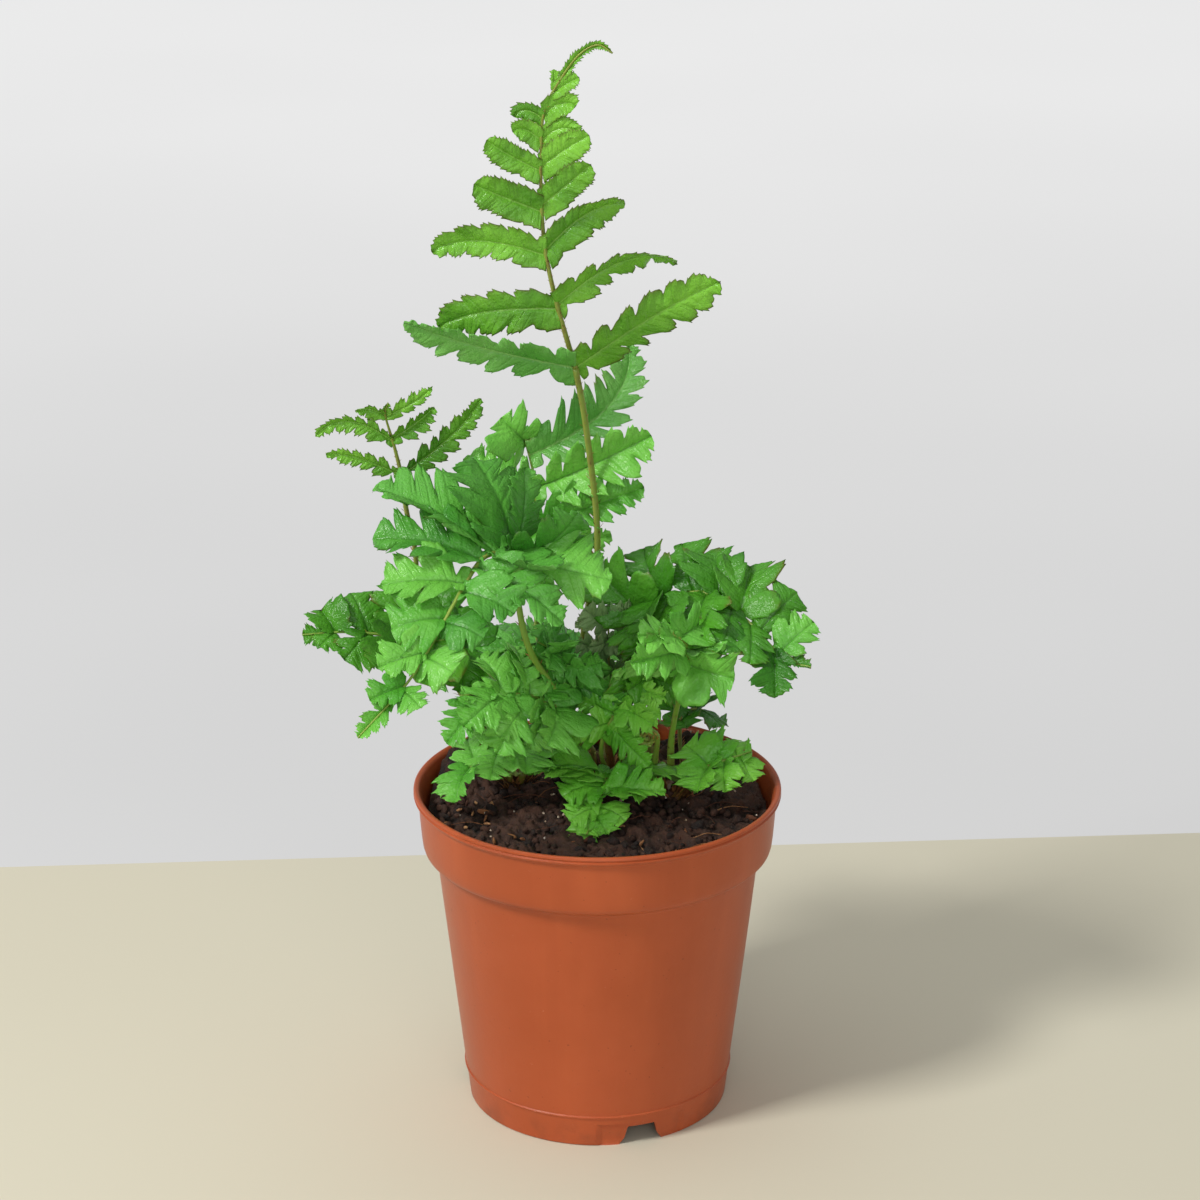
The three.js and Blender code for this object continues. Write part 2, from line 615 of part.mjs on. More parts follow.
function frondParts(frond) {
  const stalkCurve = curveThrough(frond.stalk);
  const rachisCurve = curveThrough(frond.rachis);
  const stalkLength = stalkCurve.getLength();
  const stalkSteps = Math.max(3, Math.round(stalkLength / STALK.step));
  const rachisSteps = Math.max(3, Math.round(rachisCurve.getLength() / RACHIS.step));
  const stalkPath = firstPart(stalkCurve, 1 - (GAP + JOINT) / stalkLength, stalkSteps);
  const rachisPath = firstPart(rachisCurve, TERMINAL.start + TERMINAL.overlap, rachisSteps);
  const rows = frond.pairs ? pairedPinnae(frond.pairs) : frond.pinnae;
  const lines = rows.map((row) => pinnaLine(rachisCurve, frond.face, row));
  lines.push(terminalLine(rachisCurve, frond.face));
  const rachisRadius = RACHIS.share * frond.radius;
  return {
    name: frond.name,
    stipe: tube(stalkPath, frond.radius, stalkSteps, STALK.sides),
    stipeSpace: tube(stalkPath, frond.radius + GAP, stalkSteps, STALK.sides, GAP),
    rachis: tube(rachisPath, rachisRadius, rachisSteps, RACHIS.sides),
    rachisSpace: tube(rachisPath, rachisRadius + GAP, rachisSteps, RACHIS.sides),
    leaf: wasm.Manifold.union(lines.map((line) => pinnaPlate(line))),
    leafSpace: wasm.Manifold.union(lines.map((line) => pinnaPlate(line, GAP))),
  };
}

function buildCrozier({ base, top, coil, turn }) {
  const points = [base, base.map((c, i) => (c + top[i]) / 2), top];
  const centre = [top[0] + turn * coil, top[1], top[2]];
  const { steps } = CROZIER;
  for (let k = 1; k <= steps; k += 1) {
    const angle = (CROZIER.coiled * k) / steps;
    const radius = coil * (1 - (CROZIER.tightening * k) / steps);
    const across = -turn * radius * Math.cos(angle);
    points.push([centre[0] + across, centre[1], centre[2] + radius * Math.sin(angle)]);
  }
  const stem = tube(curveThrough(points), CROZIER.radius, 12, STALK.sides);
  const knob = new THREE.SphereGeometry(CROZIER.knob, 8, 5);
  knob.translate(...points[points.length - 1]);
  return stem.add(solidOf(knob));
}

// ---------------------------------------------------------------- the object

const finish = (color, roughness) =>
  new THREE.MeshStandardMaterial({ color, roughness, metalness: 0 });
const MATERIALS = {
  plastic: finish(0xb85f38, 0.55),
  soil: finish(0x33251e, 0.95),
  crown: finish(0x5a3d22, 0.9),
  stipe: finish(0x6d7a34, 0.6),
  leaf: finish(0x58994a, 0.5),
  crozier: finish(0x9c9a55, 0.8),
};

const object = new THREE.Group();
object.position.set(AXIS_SHIFT[0], AXIS_SHIFT[1], 0);

function addPiece(name, solid, material) {
  const mesh = new THREE.Mesh(geometryOf(solid), material);
  mesh.name = name;
  object.add(mesh);
}

addPiece("pot", buildPot(), MATERIALS.plastic);
addPiece("soil", buildSoil(), MATERIALS.soil);

const soilSpace = buildSoil(GAP);
for (const crown of CROWNS) {
  addPiece(crown.name, buildCrown(crown).subtract(soilSpace), MATERIALS.crown);
}
const ground = wasm.Manifold.union([soilSpace, ...CROWNS.map((crown) => buildCrown(crown, GAP))]);

const fronds = FRONDS.map(frondParts);
let taken = ground;

// The stalks and rachises keep their whole length: each gives way only to earlier ones.
for (const frond of fronds) {
  frond.stipe = largestBody(frond.stipe.subtract(taken));
  frond.rachis = largestBody(frond.rachis.subtract(taken));
  taken = wasm.Manifold.union([taken, frond.stipeSpace, frond.rachisSpace]);
}
const croziers = CROZIERS.map((crozier) => {
  const solid = largestBody(buildCrozier(crozier).subtract(taken));
  return { name: crozier.name, solid };
});

// The leafy parts give way to every other frond's stalk and rachis, to the croziers and
// to the leaves already placed.
let leaves = wasm.Manifold.union(croziers.map(({ solid }) => solid));
for (const frond of fronds) {
  const others = fronds.filter((other) => other !== frond).map((other) => other.rachisSpace);
  const stalks = fronds.map((other) => other.stipeSpace);
  const blocked = wasm.Manifold.union([ground, leaves, ...others, ...stalks]);
  const leaf = frond.leaf.subtract(blocked);
  frond.blade = largestBody(leaf.add(frond.rachis).simplify(COARSEST));
  leaves = leaves.add(frond.leafSpace);
}

for (const frond of fronds) {
  addPiece(`${frond.name}_stipe`, frond.stipe, MATERIALS.stipe);
  addPiece(`${frond.name}_blade`, frond.blade, MATERIALS.leaf);
}
for (const { name, solid } of croziers) {
  addPiece(name, solid, MATERIALS.crozier);
}

export default object;
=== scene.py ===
"""A young autumn fern in a plastic nursery pot: the looks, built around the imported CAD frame."""
import math
import random

import bmesh
import bpy
import numpy as np
from mathutils import Matrix, Vector, noise


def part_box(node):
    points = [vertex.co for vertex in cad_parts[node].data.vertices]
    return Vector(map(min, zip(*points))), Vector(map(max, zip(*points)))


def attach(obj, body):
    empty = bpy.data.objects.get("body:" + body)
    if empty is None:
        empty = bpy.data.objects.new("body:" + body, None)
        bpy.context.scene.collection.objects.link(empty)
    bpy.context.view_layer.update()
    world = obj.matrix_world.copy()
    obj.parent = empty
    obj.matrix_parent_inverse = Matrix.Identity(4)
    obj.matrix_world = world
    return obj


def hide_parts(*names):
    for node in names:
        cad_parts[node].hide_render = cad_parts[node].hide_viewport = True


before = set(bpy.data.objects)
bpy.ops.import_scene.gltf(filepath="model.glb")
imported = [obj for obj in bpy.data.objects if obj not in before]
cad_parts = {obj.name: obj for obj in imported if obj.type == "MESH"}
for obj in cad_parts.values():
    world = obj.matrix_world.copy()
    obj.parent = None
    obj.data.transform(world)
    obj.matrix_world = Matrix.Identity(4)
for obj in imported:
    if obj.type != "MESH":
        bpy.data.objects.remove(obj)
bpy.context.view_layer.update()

MM = 0.001
POT_LOW, POT_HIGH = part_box("pot")
AXIS = Vector(((POT_LOW.x + POT_HIGH.x) / 2, (POT_LOW.y + POT_HIGH.y) / 2, 0))
scene = bpy.context.scene
scene.view_settings.view_transform = "Standard"


def place(points):
    """Millimetres from the pot's axis to metres in the shared frame."""
    return np.asarray(points, float) * MM + np.array(AXIS)


# ------------------------------------------------------------------ camera, light, stage

CAMERA_FROM_AXIS = Vector((0.0007, -0.907, 0.481))
CAMERA_PITCH = 19.96

camera = bpy.data.objects.new("camera", bpy.data.cameras.new("camera"))
camera.location = AXIS + CAMERA_FROM_AXIS
camera.rotation_euler = (math.radians(90 - CAMERA_PITCH), 0, 0)
camera.data.lens = 103.5
camera.data.sensor_width = 36
scene.collection.objects.link(camera)
scene.camera = camera


def area_light(name, place_at, size, power, color, aim=(0, 0, 0.15)):
    lamp = bpy.data.lights.new(name, "AREA")
    lamp.shape = "RECTANGLE"
    lamp.size, lamp.size_y = size
    lamp.energy = power
    lamp.color = color
    obj = bpy.data.objects.new(name, lamp)
    obj.location = AXIS + Vector(place_at)
    obj.rotation_euler = (Vector(aim) - Vector(place_at)).to_track_quat("-Z", "Y").to_euler()
    scene.collection.objects.link(obj)


area_light("key_softbox", (-1.0, -0.7, 1.3), (0.34, 0.34), 20.5, (1, 0.985, 0.96))
area_light("top_softbox", (-0.3, 0.2, 1.5), (1.2, 1.0), 3.5, (0.98, 0.99, 1))
area_light("front_fill", (0.15, -1.5, 0.6), (1.1, 0.8), 6.5, (1, 1, 1))

world = bpy.data.worlds.new("studio")
world.use_nodes = True
world.node_tree.nodes["Background"].inputs["Color"].default_value = (0.88, 0.885, 0.89, 1)
world.node_tree.nodes["Background"].inputs["Strength"].default_value = 0.42
scene.world = world


# ------------------------------------------------------------------ node helpers


class Shader:
    """A node material under construction."""

    def __init__(self, name):
        self.material = bpy.data.materials.new(name)
        self.material.use_nodes = True
        self.tree = self.material.node_tree
        self.bsdf = self.tree.nodes["Principled BSDF"]
        self.output = self.tree.nodes["Material Output"]

    def node(self, kind, inputs=(), **settings):
        made = self.tree.nodes.new(kind)
        for key, value in settings.items():
            setattr(made, key, value)
        for key, value in dict(inputs).items():
            self.set(made.inputs[key], value)
        return made

    def set(self, socket, value):
        if isinstance(value, bpy.types.NodeSocket):
            self.tree.links.new(value, socket)
        else:
            socket.default_value = value

    def noise(self, scale, detail=3.0, roughness=0.55, distortion=0.0, stretch=None):
        coords = self.node("ShaderNodeTexCoord").outputs["Object"]
        if stretch:
            mapping = self.node("ShaderNodeMapping", {"Vector": coords, "Scale": stretch})
            coords = mapping.outputs["Vector"]
        return self.node("ShaderNodeTexNoise", {
            "Vector": coords, "Scale": scale, "Detail": detail,
            "Roughness": roughness, "Distortion": distortion,
        }).outputs["Fac"]

    def ramp(self, fac, low, high, to_low=0.0, to_high=1.0):
        return self.node("ShaderNodeMapRange", {
            "Value": fac, "From Min": low, "From Max": high,
            "To Min": to_low, "To Max": to_high,
        }, interpolation_type="SMOOTHSTEP").outputs["Result"]

    def mix(self, fac, a, b):
        made = self.node("ShaderNodeMix", data_type="RGBA")
        self.set(made.inputs[0], fac)
        self.set(made.inputs[6], a)
        self.set(made.inputs[7], b)
        return made.outputs[2]

    def math(self, operation, a, b):
        made = self.node("ShaderNodeMath", operation=operation)
        self.set(made.inputs[0], a)
        self.set(made.inputs[1], b)
        return made.outputs[0]

    def plus(self, a, b):
        return self.math("ADD", a, b)

    def times(self, a, b):
        return self.math("MULTIPLY", a, b)

    def bump(self, height, strength, distance):
        inputs = {"Height": height, "Strength": strength, "Distance": distance}
        return self.node("ShaderNodeBump", inputs).outputs["Normal"]

    def object_axis(self, axis):
        """One coordinate of the object's own space."""
        coords = self.node("ShaderNodeTexCoord").outputs["Object"]
        return self.node("ShaderNodeSeparateXYZ", {"Vector": coords}).outputs[axis]

    def surface(self, color, roughness, normal):
        """Sets what every material sets, and gives the material back."""
        for key, value in (("Base Color", color), ("Roughness", roughness), ("Normal", normal)):
            self.set(self.bsdf.inputs[key], value)
        return self.material

    def channels(self, name):
        """The four numbers of a colour attribute."""
        attribute = self.node("ShaderNodeAttribute", attribute_name=name)
        split = self.node("ShaderNodeSeparateColor", {"Color": attribute.outputs["Color"]})
        return [split.outputs[0], split.outputs[1], split.outputs[2], attribute.outputs["Alpha"]]


def rgb(r, g, b):
    """A linear colour from 0-255 screen values."""
    return tuple((c / 255) ** 2.2 for c in (r, g, b)) + (1.0,)


# ------------------------------------------------------------------ materials


PALE_UNDERSIDE = 0.45
LEAF_SHINE = 0.42
LEAF_GLOW = 0.2


def leaf_material(name, shade, light, rim, rim_amount, gloss=0.27):
    """Leathery green leaf tissue: veins, mottling, dry rims and a paler underside."""
    s = Shader(name)
    vein, edge, tone, under = s.channels("leaf")
    mottle = s.noise(160, 4)
    patches = s.noise(42, 2)
    fac = s.plus(s.times(patches, 0.7), s.times(tone, 0.35))
    fac = s.plus(fac, s.times(mottle, 0.25))
    body = s.mix(s.ramp(fac, 0.32, 0.86), shade, light)
    vein_tint = tuple(c * 0.45 for c in shade[:3]) + (1,)
    if name in ("leaf_tall", "leaf_pale"):
        vein_tint = tuple(0.6 * a + 0.3 * b for a, b in zip(light, (0.6, 0.8, 0.3, 1)))
    body = s.mix(s.times(s.ramp(vein, 0.3, 0.95), 0.6), body, vein_tint)
    pale = tuple(0.7 * a + 0.3 * b for a, b in zip(light, (0.45, 0.6, 0.35, 1)))
    body = s.mix(s.times(under, PALE_UNDERSIDE), body, pale)
    dry = s.times(edge, s.ramp(s.noise(95, 2), 0.62 - rim_amount, 0.75 - rim_amount))
    body = s.mix(s.times(dry, 0.8), body, rim)
    pores = s.noise(1500, 2)
    rough = s.ramp(s.plus(s.times(mottle, 0.6), s.times(under, 0.5)),
                   0.2, 1.0, gloss, gloss + 0.28)
    relief = s.plus(s.times(pores, 0.3), s.times(s.noise(380, 3), 0.9))
    normal = s.bump(s.math("SUBTRACT", relief, s.times(vein, 0.5)), 0.62, 0.0012)
    s.surface(body, rough, normal)
    s.bsdf.inputs["Specular IOR Level"].default_value = LEAF_SHINE
    glow = s.node("ShaderNodeBsdfTranslucent", {
        "Color": s.mix(0.55, body, (0.42, 0.62, 0.05, 1)), "Normal": normal,
    })
    blend = s.node("ShaderNodeMixShader", {0: LEAF_GLOW, 1: s.bsdf.outputs[0], 2: glow.outputs[0]})
    s.set(s.output.inputs["Surface"], blend.outputs[0])
    return s.material


def stalk_material(name, green, brown):
    """Ridged fern stalk, green above and browner towards its base."""
    s = Shader(name)
    base, streak, _, _ = s.channels("leaf")
    flecks = s.ramp(s.noise(260, 3), 0.42, 0.7)
    fac = s.plus(s.times(base, 0.85), s.times(flecks, 0.35))
    body = s.mix(s.ramp(fac, 0.1, 1.0), green, brown)
    body = s.mix(s.times(streak, 0.35), body, rgb(188, 190, 96))
    return s.surface(body, s.ramp(flecks, 0, 1, 0.4, 0.65), s.bump(s.noise(900, 3), 0.35, 0.0004))


def scale_material():
    """Papery brown scales on the stalks and crowns."""
    s = Shader("chaffy_scales")
    _, _, tone, _ = s.channels("leaf")
    fac = s.ramp(s.plus(tone, s.noise(300, 2)), 0.5, 1.3)
    body = s.mix(fac, rgb(74, 44, 22), rgb(158, 112, 62))
    rough = s.ramp(s.noise(800, 2), 0.3, 0.7, 0.5, 0.75)
    return s.surface(body, rough, s.bump(s.noise(1400, 2), 0.3, 0.0003))


def plastic_material():
    """Terracotta-coloured moulded plastic: satin, finely grained, dusty and lightly scuffed."""
    s = Shader("terracotta_plastic")
    cloud = s.noise(16, 4, 0.6)
    streak = s.noise(55, 3, 0.6, 0.3, (1, 1, 0.12))
    body = s.mix(s.ramp(cloud, 0.3, 0.75), rgb(164, 77, 41), rgb(177, 85, 49))
    body = s.mix(s.ramp(streak, 0.45, 0.8, 0, 0.35), body, rgb(196, 98, 56))
    dust = s.ramp(s.noise(420, 4, 0.7), 0.66, 0.78, 0, 0.3)
    body = s.mix(dust, body, rgb(206, 140, 108))
    specks = s.ramp(s.noise(900, 1), 0.74, 0.8, 0, 0.55)
    body = s.mix(specks, body, rgb(120, 58, 34))
    soiled = s.times(s.ramp(s.object_axis("Z"), 0.012, 0.0), s.ramp(s.noise(130, 4), 0.42, 0.7, 0, 0.5))
    body = s.mix(soiled, body, rgb(128, 66, 42))
    grain = s.noise(2600, 2)
    orange_peel = s.noise(520, 2)
    relief = s.plus(s.times(grain, 0.5), s.times(orange_peel, 0.5))
    s.surface(body, s.ramp(s.plus(cloud, dust), 0.3, 1.0, 0.34, 0.5), s.bump(relief, 0.22, 0.0003))
    s.bsdf.inputs["Specular IOR Level"].default_value = 0.36
    s.bsdf.inputs["Subsurface Weight"].default_value = 0.12
    s.bsdf.inputs["Subsurface Radius"].default_value = (0.004, 0.0015, 0.0007)
    return s.material


def soil_material():
    """Moist peat: near-black crumbs, browner on the higher clods as painted light and darker in the hollows
    as painted shade.
    """
    s = Shader("moist_peat")
    _, _, tone, _ = s.channels("leaf")
    crumbs = s.noise(420, 5, 0.7)
    # On the surface the tone channel carries painted light and shade: lighter on higher clods, darker in
    # the hollows.
    fac = s.plus(s.times(crumbs, 0.8), s.times(tone, 0.5))
    body = s.mix(s.ramp(fac, 0.35, 1.0), rgb(20, 13, 9), rgb(76, 50, 37))
    specks = s.ramp(s.noise(1300, 2), 0.7, 0.76)
    body = s.mix(s.times(specks, 0.55), body, rgb(150, 112, 80))
    rough = s.ramp(crumbs, 0.3, 0.75, 0.62, 0.95)
    return s.surface(body, rough, s.bump(s.noise(1500, 4, 0.7), 0.8, 0.0008))


def chip_material():
    """Bark chips, wood fibres and mineral grains, coloured by their tone."""
    s = Shader("bark_and_fibres")
    _, _, tone, _ = s.channels("leaf")
    grain = s.noise(700, 4, 0.6, 0, (1, 1, 4))
    ramp = s.node("ShaderNodeValToRGB", {"Fac": tone})
    stops = ramp.color_ramp.elements
    stops[0].position, stops[0].color = 0.0, rgb(66, 38, 24)
    stops[1].position, stops[1].color = 1.0, rgb(228, 220, 205)
    for position, color in ((0.35, rgb(104, 62, 38)), (0.62, rgb(158, 106, 66)), (0.8, rgb(190, 150, 104))):
        stops.new(position).color = color
    body = s.mix(s.ramp(grain, 0.35, 0.7, 0.0, 0.45), ramp.outputs["Color"], rgb(46, 28, 18))
    return s.surface(body, s.ramp(grain, 0.3, 0.7, 0.7, 0.92), s.bump(grain, 0.5, 0.0005))


def stage_material(name, near, far, glow=0.0):
    """Faintly uneven paint for the stage; with glow it also lights itself, as painted light: its glow is
    ramped brighter farther back.
    """
    s = Shader(name)
    s.set(s.bsdf.inputs["Base Color"], s.mix(s.ramp(s.noise(1.5, 2), 0.3, 0.7), near, far))
    s.bsdf.inputs["Roughness"].default_value = 0.8
    if glow:
        # Painted light: the emitted colour grows brighter farther back, standing in for a lit wall.
        glow_farther_back = s.ramp(s.object_axis("Y"), 0.1, 1.6)
        s.set(s.bsdf.inputs["Emission Color"], s.mix(glow_farther_back, near, far))
        s.bsdf.inputs["Emission Strength"].default_value = glow
    return s.material


# Each leaf look: shaded and lit colour, the dry rim's colour and amount, and roughness if special.
LEAF_LOOKS = {
    "tall": ((64, 130, 32), (136, 208, 70), (84, 60, 28), 0.42),
    "dark": ((62, 136, 46), (106, 186, 74), (70, 82, 32), 0.08),
    "deep": ((44, 110, 26), (88, 162, 48), (110, 76, 34), 0.12),
    "light": ((74, 158, 46), (128, 208, 84), (96, 120, 48), 0.06),
    "pale": ((88, 166, 66), (142, 208, 108), (130, 130, 70), 0.06),
    "fresh": ((84, 172, 44), (142, 220, 80), (100, 120, 44), 0.06),
    "wilted": ((100, 140, 82), (154, 184, 124), (150, 130, 90), 0.12, 0.5),
    "yellow": ((150, 190, 70), (202, 220, 120), (170, 120, 60), 0.12),
}
GREENS = {
    key: leaf_material("leaf_" + key, *[rgb(*color) for color in look[:3]], *look[3:])
    for key, look in LEAF_LOOKS.items()
}
STALK = stalk_material("stalk", rgb(112, 134, 48), rgb(104, 72, 36))
STALK_GREEN = stalk_material("stalk_green", rgb(112, 152, 54), rgb(112, 108, 46))
SCALES = scale_material()
PLASTIC = plastic_material()
PEAT = soil_material()
CHIPS = chip_material()


# ------------------------------------------------------------------ mesh helpers


def link(name, mesh):
    """A new object of the scene that shows this mesh."""
    obj = bpy.data.objects.new(name, mesh)
    scene.collection.objects.link(obj)
    return obj


def ring_quads(rings, sides):
    """Vertex numbers of stacked rings, and the faces between them."""
    index = np.arange(rings * sides).reshape(rings, sides)
    nxt = np.roll(index, -1, axis=1)
    return index, np.stack([index[:-1], nxt[:-1], nxt[1:], index[1:]], -1).reshape(-1, 4)


def circle(radius, z, angle):
    """Points at these angles round the axis."""
    return np.stack([radius * np.cos(angle), radius * np.sin(angle), np.full(len(angle), z)], -1)


class Pile:
    """Vertices, faces and per-vertex "leaf" values of one piece, gathered part by part."""

    def __init__(self):
        self.points, self.faces, self.values, self.slots = [], [], [], []
        self.count = 0

    def add(self, points, faces, values, slot=0):
        points = np.asarray(points, float)
        faces = np.asarray(faces, int)
        values = np.broadcast_to(np.asarray(values, float), (len(points), 4))
        self.points.append(points)
        self.values.append(values)
        self.faces.extend((faces + self.count).tolist())
        self.slots.extend([slot] * len(faces))
        self.count += len(points)

    def build(self, name, materials):
        mesh = bpy.data.meshes.new(name)
        mesh.from_pydata(np.concatenate(self.points).tolist(), [], self.faces)
        for material in materials:
            mesh.materials.append(material)
        attribute = mesh.attributes.new("leaf", "FLOAT_COLOR", "POINT")
        attribute.data.foreach_set("color", np.concatenate(self.values).ravel())
        mesh.polygons.foreach_set("material_index", self.slots)
        mesh.polygons.foreach_set("use_smooth", [True] * len(self.faces))
        mesh.update()
        return link(name, mesh)


def finish_piece(obj, slot, *nodes):
    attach(obj, "root")
    if nodes:
        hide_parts(*nodes)


def unit(v):
    return v / np.maximum(np.linalg.norm(v, axis=-1, keepdims=True), 1e-9)


def smooth(x):
    x = np.clip(x, 0, 1)
    return x * x * (3 - 2 * x)


class Line:
    """A Catmull-Rom curve through points, read by its share of length."""

    def __init__(self, points, per_span=40):
        knots = [np.array(p, float) for p in points]
        knots = [2 * knots[0] - knots[1]] + knots + [2 * knots[-1] - knots[-2]]
        t = (np.arange(per_span) / per_span)[:, None]
        spans = []
        for a, b, c, d in zip(knots, knots[1:], knots[2:], knots[3:]):
            cubic = 2 * b + (c - a) * t + (2 * a - 5 * b + 4 * c - d) * t ** 2
            spans.append(0.5 * (cubic + (3 * b - a - 3 * c + d) * t ** 3))
        self.points = np.concatenate(spans + [knots[-2][None]])
        steps = np.linalg.norm(np.diff(self.points, axis=0), axis=1)
        self.marks = np.concatenate([[0], np.cumsum(steps)])
        self.length = self.marks[-1]
        self.directions = unit(np.gradient(self.points, self.marks, axis=0))

    def at(self, share):
        """Points at shares of the length; beyond 1 the curve runs straight on."""
        share = np.asarray(share, float)
        inside = np.clip(share, 0, 1) * self.length
        point = np.stack([np.interp(inside, self.marks, c) for c in self.points.T], -1)
        beyond = (share - np.clip(share, 0, 1)) * self.length
        return point + self.direction(share) * beyond[..., None]

    def direction(self, share):
        inside = np.clip(share, 0, 1) * self.length
        along = np.stack([np.interp(inside, self.marks, c) for c in self.directions.T], -1)
        return unit(along)


def wander(x, y, seed):
    """Smooth noise from -1 to 1 made of a few sines."""
    total = 0
    for k, (a, b) in enumerate(((1.0, 0.6), (-0.7, 1.3), (1.9, 0.9), (0.8, -2.1))):
        total = total + np.sin(a * x + b * y + seed * (1.7 + k) + 2.4 * k) / (1 + 0.5 * k)
    return total / 2.6


def tube(pile, line, radius, sides, spacing, values, slot=0, ridge=0.0):
    """A closed round stalk along a line; radius and values are functions of the share."""
    count = max(4, int(line.length / spacing))
    share = np.linspace(0, 1, count + 1)
    centre, along = line.at(share), line.direction(share)
    side = np.cross(along[0], [0.3, -1, 0.2])
    frames = []
    for direction in along:
        side = unit(side - direction * (side @ direction))
        frames.append(side)
    across = np.array(frames)
    other = np.cross(along, across)
    angle = 2 * np.pi * np.arange(sides) / sides
    r = np.array([radius(t) for t in share])[:, None] * (1 + ridge * np.cos(2 * angle)[None, :])
    ring = across[:, None] * np.cos(angle)[None, :, None] + other[:, None] * np.sin(angle)[None, :, None]
    points = centre[:, None] + ring * r[..., None]
    vals = np.array([[values(t, a) for a in angle] for t in share])
    _, quads = ring_quads(count + 1, sides)
    pile.add(place(points.reshape(-1, 3)), quads, vals.reshape(-1, 4), slot)
    first, last = pile.count - (count + 1) * sides, pile.count - sides
    pile.faces.append(list(range(first, first + sides))[::-1])
    pile.faces.append(list(range(last, last + sides)))
    pile.slots.extend([slot, slot])


# ------------------------------------------------------------------ the pot


def lathe(profile, segments, shape):
    """The rings of a turned solid; shape(angle, r, z) moves its radius."""
    angle = 2 * np.pi * np.arange(segments) / segments
    points = []
    for r, z in profile:
        points.append(circle(shape(angle, np.full(segments, float(r)), z), z, angle))
    return np.array(points)


FOOT_RADIUS = 37.5
TAPER = (46.2 - FOOT_RADIUS) / 76
WALL = 1.3
POT_SEGMENTS = 288


def moulded_profile():
    """The pot's section, outside up and inside down, in millimetres."""

    def outside(z):
        return FOOT_RADIUS + TAPER * z

    profile = [(0.4, 9.5), (20, 9.5), (outside(9.5) - 1.4, 9.5), (outside(7) - WALL, 7)]
    profile += [(outside(0) - WALL, 0.3), (outside(0) - 1.0, 0), (outside(0) - 0.4, 0), (outside(0), 0.35)]
    profile += [(outside(z), z) for z in (2, 4, 5.5, 6.9, 7.15, 8.6, 9.1)]
    profile += [(outside(9.3) + 0.34, 9.3), (outside(9.7) + 0.36, 9.7), (outside(10.0), 10.0)]
    profile += [(outside(z), z) for z in np.linspace(11, 75, 14)]
    profile += [(46.3, 75.8), (46.6, 76.3), (47.3, 76.8), (48.3, 77.2), (49.1, 77.7), (49.7, 78.4)]
    profile += [(50, 79.4), (50.3, 82), (50.7, 87), (51, 92), (51.05, 93), (51.3, 93.3)]
    profile += [(51.9, 93.5), (52.3, 93.9), (52.4, 94.3), (52.0, 94.65), (52.0, 94.85), (52.4, 95.2)]
    profile += [(52.3, 95.7), (51.9, 96), (51.3, 95.95), (50.8, 95.6), (50.3, 94.8), (49.8, 93.2)]
    profile += [(49.6, 90), (49.1, 84), (48.7, 80), (48.2, 78.8), (47.0, 78.0), (45.4, 77.3), (44.9, 76.3)]
    profile += [(outside(z) - WALL, z) for z in np.linspace(74, 12, 10)]
    profile += [(outside(10.9) - 1.6, 10.9), (outside(10.8) - 2.4, 10.8), (20, 10.8), (0.4, 10.8)]
    return profile


NOTCH_ANGLES = [math.radians(-70.5 + 120 * k) for k in range(3)]


def pressed_panels(angle, radius, z):
    """Shallow panels around the notches, and the moulding's slight waviness."""
    if 0.2 < z < 7.1:
        for centre in NOTCH_ANGLES:
            away = np.abs((angle - centre + np.pi) % (2 * np.pi) - np.pi)
            radius = np.where((away < math.radians(19.5)) & (radius > 37), radius - 0.6, radius)
    return radius + 0.05 * np.sin(3 * angle + 0.04 * z) + 0.03 * np.sin(7 * angle - 0.09 * z)


def notch_tool():
    """A cutter for three round-cornered notches in the foot and three drain holes in the floor."""
    made = bmesh.new()
    for centre in NOTCH_ANGLES:
        outline = [(-6.4, -2), (-6.3, 0.2), (-5.6, 1.0), (-4.9, 2.2), (-4.2, 5.2), (-3.9, 5.7)]
        outline = outline + [(-x, z) for x, z in reversed(outline)]
        turn = Matrix.Rotation(centre, 4, "Z")
        rings = []
        for r in (31, 42):
            corners = [turn @ Vector((r, x, z)) for x, z in outline]
            rings.append([made.verts.new(Vector(place(list(v)))) for v in corners])
        made.faces.new(rings[0][::-1])
        made.faces.new(rings[1])
        for k, corner in enumerate(rings[0]):
            n = (k + 1) % len(outline)
            made.faces.new((corner, rings[0][n], rings[1][n], rings[1][k]))
        spot = turn @ Vector((25, 0, 10.1))
        matrix = Matrix.Translation(Vector(place(list(spot))))
        bmesh.ops.create_cone(made, cap_ends=True, segments=40, radius1=4 * MM, radius2=4 * MM,
                              depth=6 * MM, matrix=matrix)
    bmesh.ops.recalc_face_normals(made, faces=made.faces)
    mesh = bpy.data.meshes.new("notches")
    made.to_mesh(mesh)
    made.free()
    return link("notches", mesh)


def build_pot():
    grid = lathe(moulded_profile(), POT_SEGMENTS, pressed_panels)
    index, quads = ring_quads(len(grid), POT_SEGMENTS)
    quads = quads.tolist()
    quads.append(index[0][::-1].tolist())
    quads.append(index[-1].tolist())
    mesh = bpy.data.meshes.new("nursery_pot")
    mesh.from_pydata(place(grid.reshape(-1, 3)).tolist(), [], quads)
    mesh.update()
    pot = link("nursery_pot", mesh)
    tool = notch_tool()
    cut = pot.modifiers.new("cut", "BOOLEAN")
    cut.operation = "DIFFERENCE"
    cut.solver = "EXACT"
    cut.object = tool
    shaped = bpy.data.meshes.new_from_object(pot.evaluated_get(bpy.context.evaluated_depsgraph_get()))
    pot.modifiers.clear()
    pot.data = shaped
    shaped.name = "nursery_pot"
    bpy.data.objects.remove(tool)
    shaped.materials.clear()
    shaped.materials.append(PLASTIC)
    shaped.shade_smooth()
    shaped.set_sharp_from_angle(angle=math.radians(38))
    finish_piece(pot, "pot_plastic", "pot")


build_pot()


# ------------------------------------------------------------------ soil


SOIL_AT_WALL = 88
SOIL_MOUND = 3.5
SOIL_REACH = 48.8

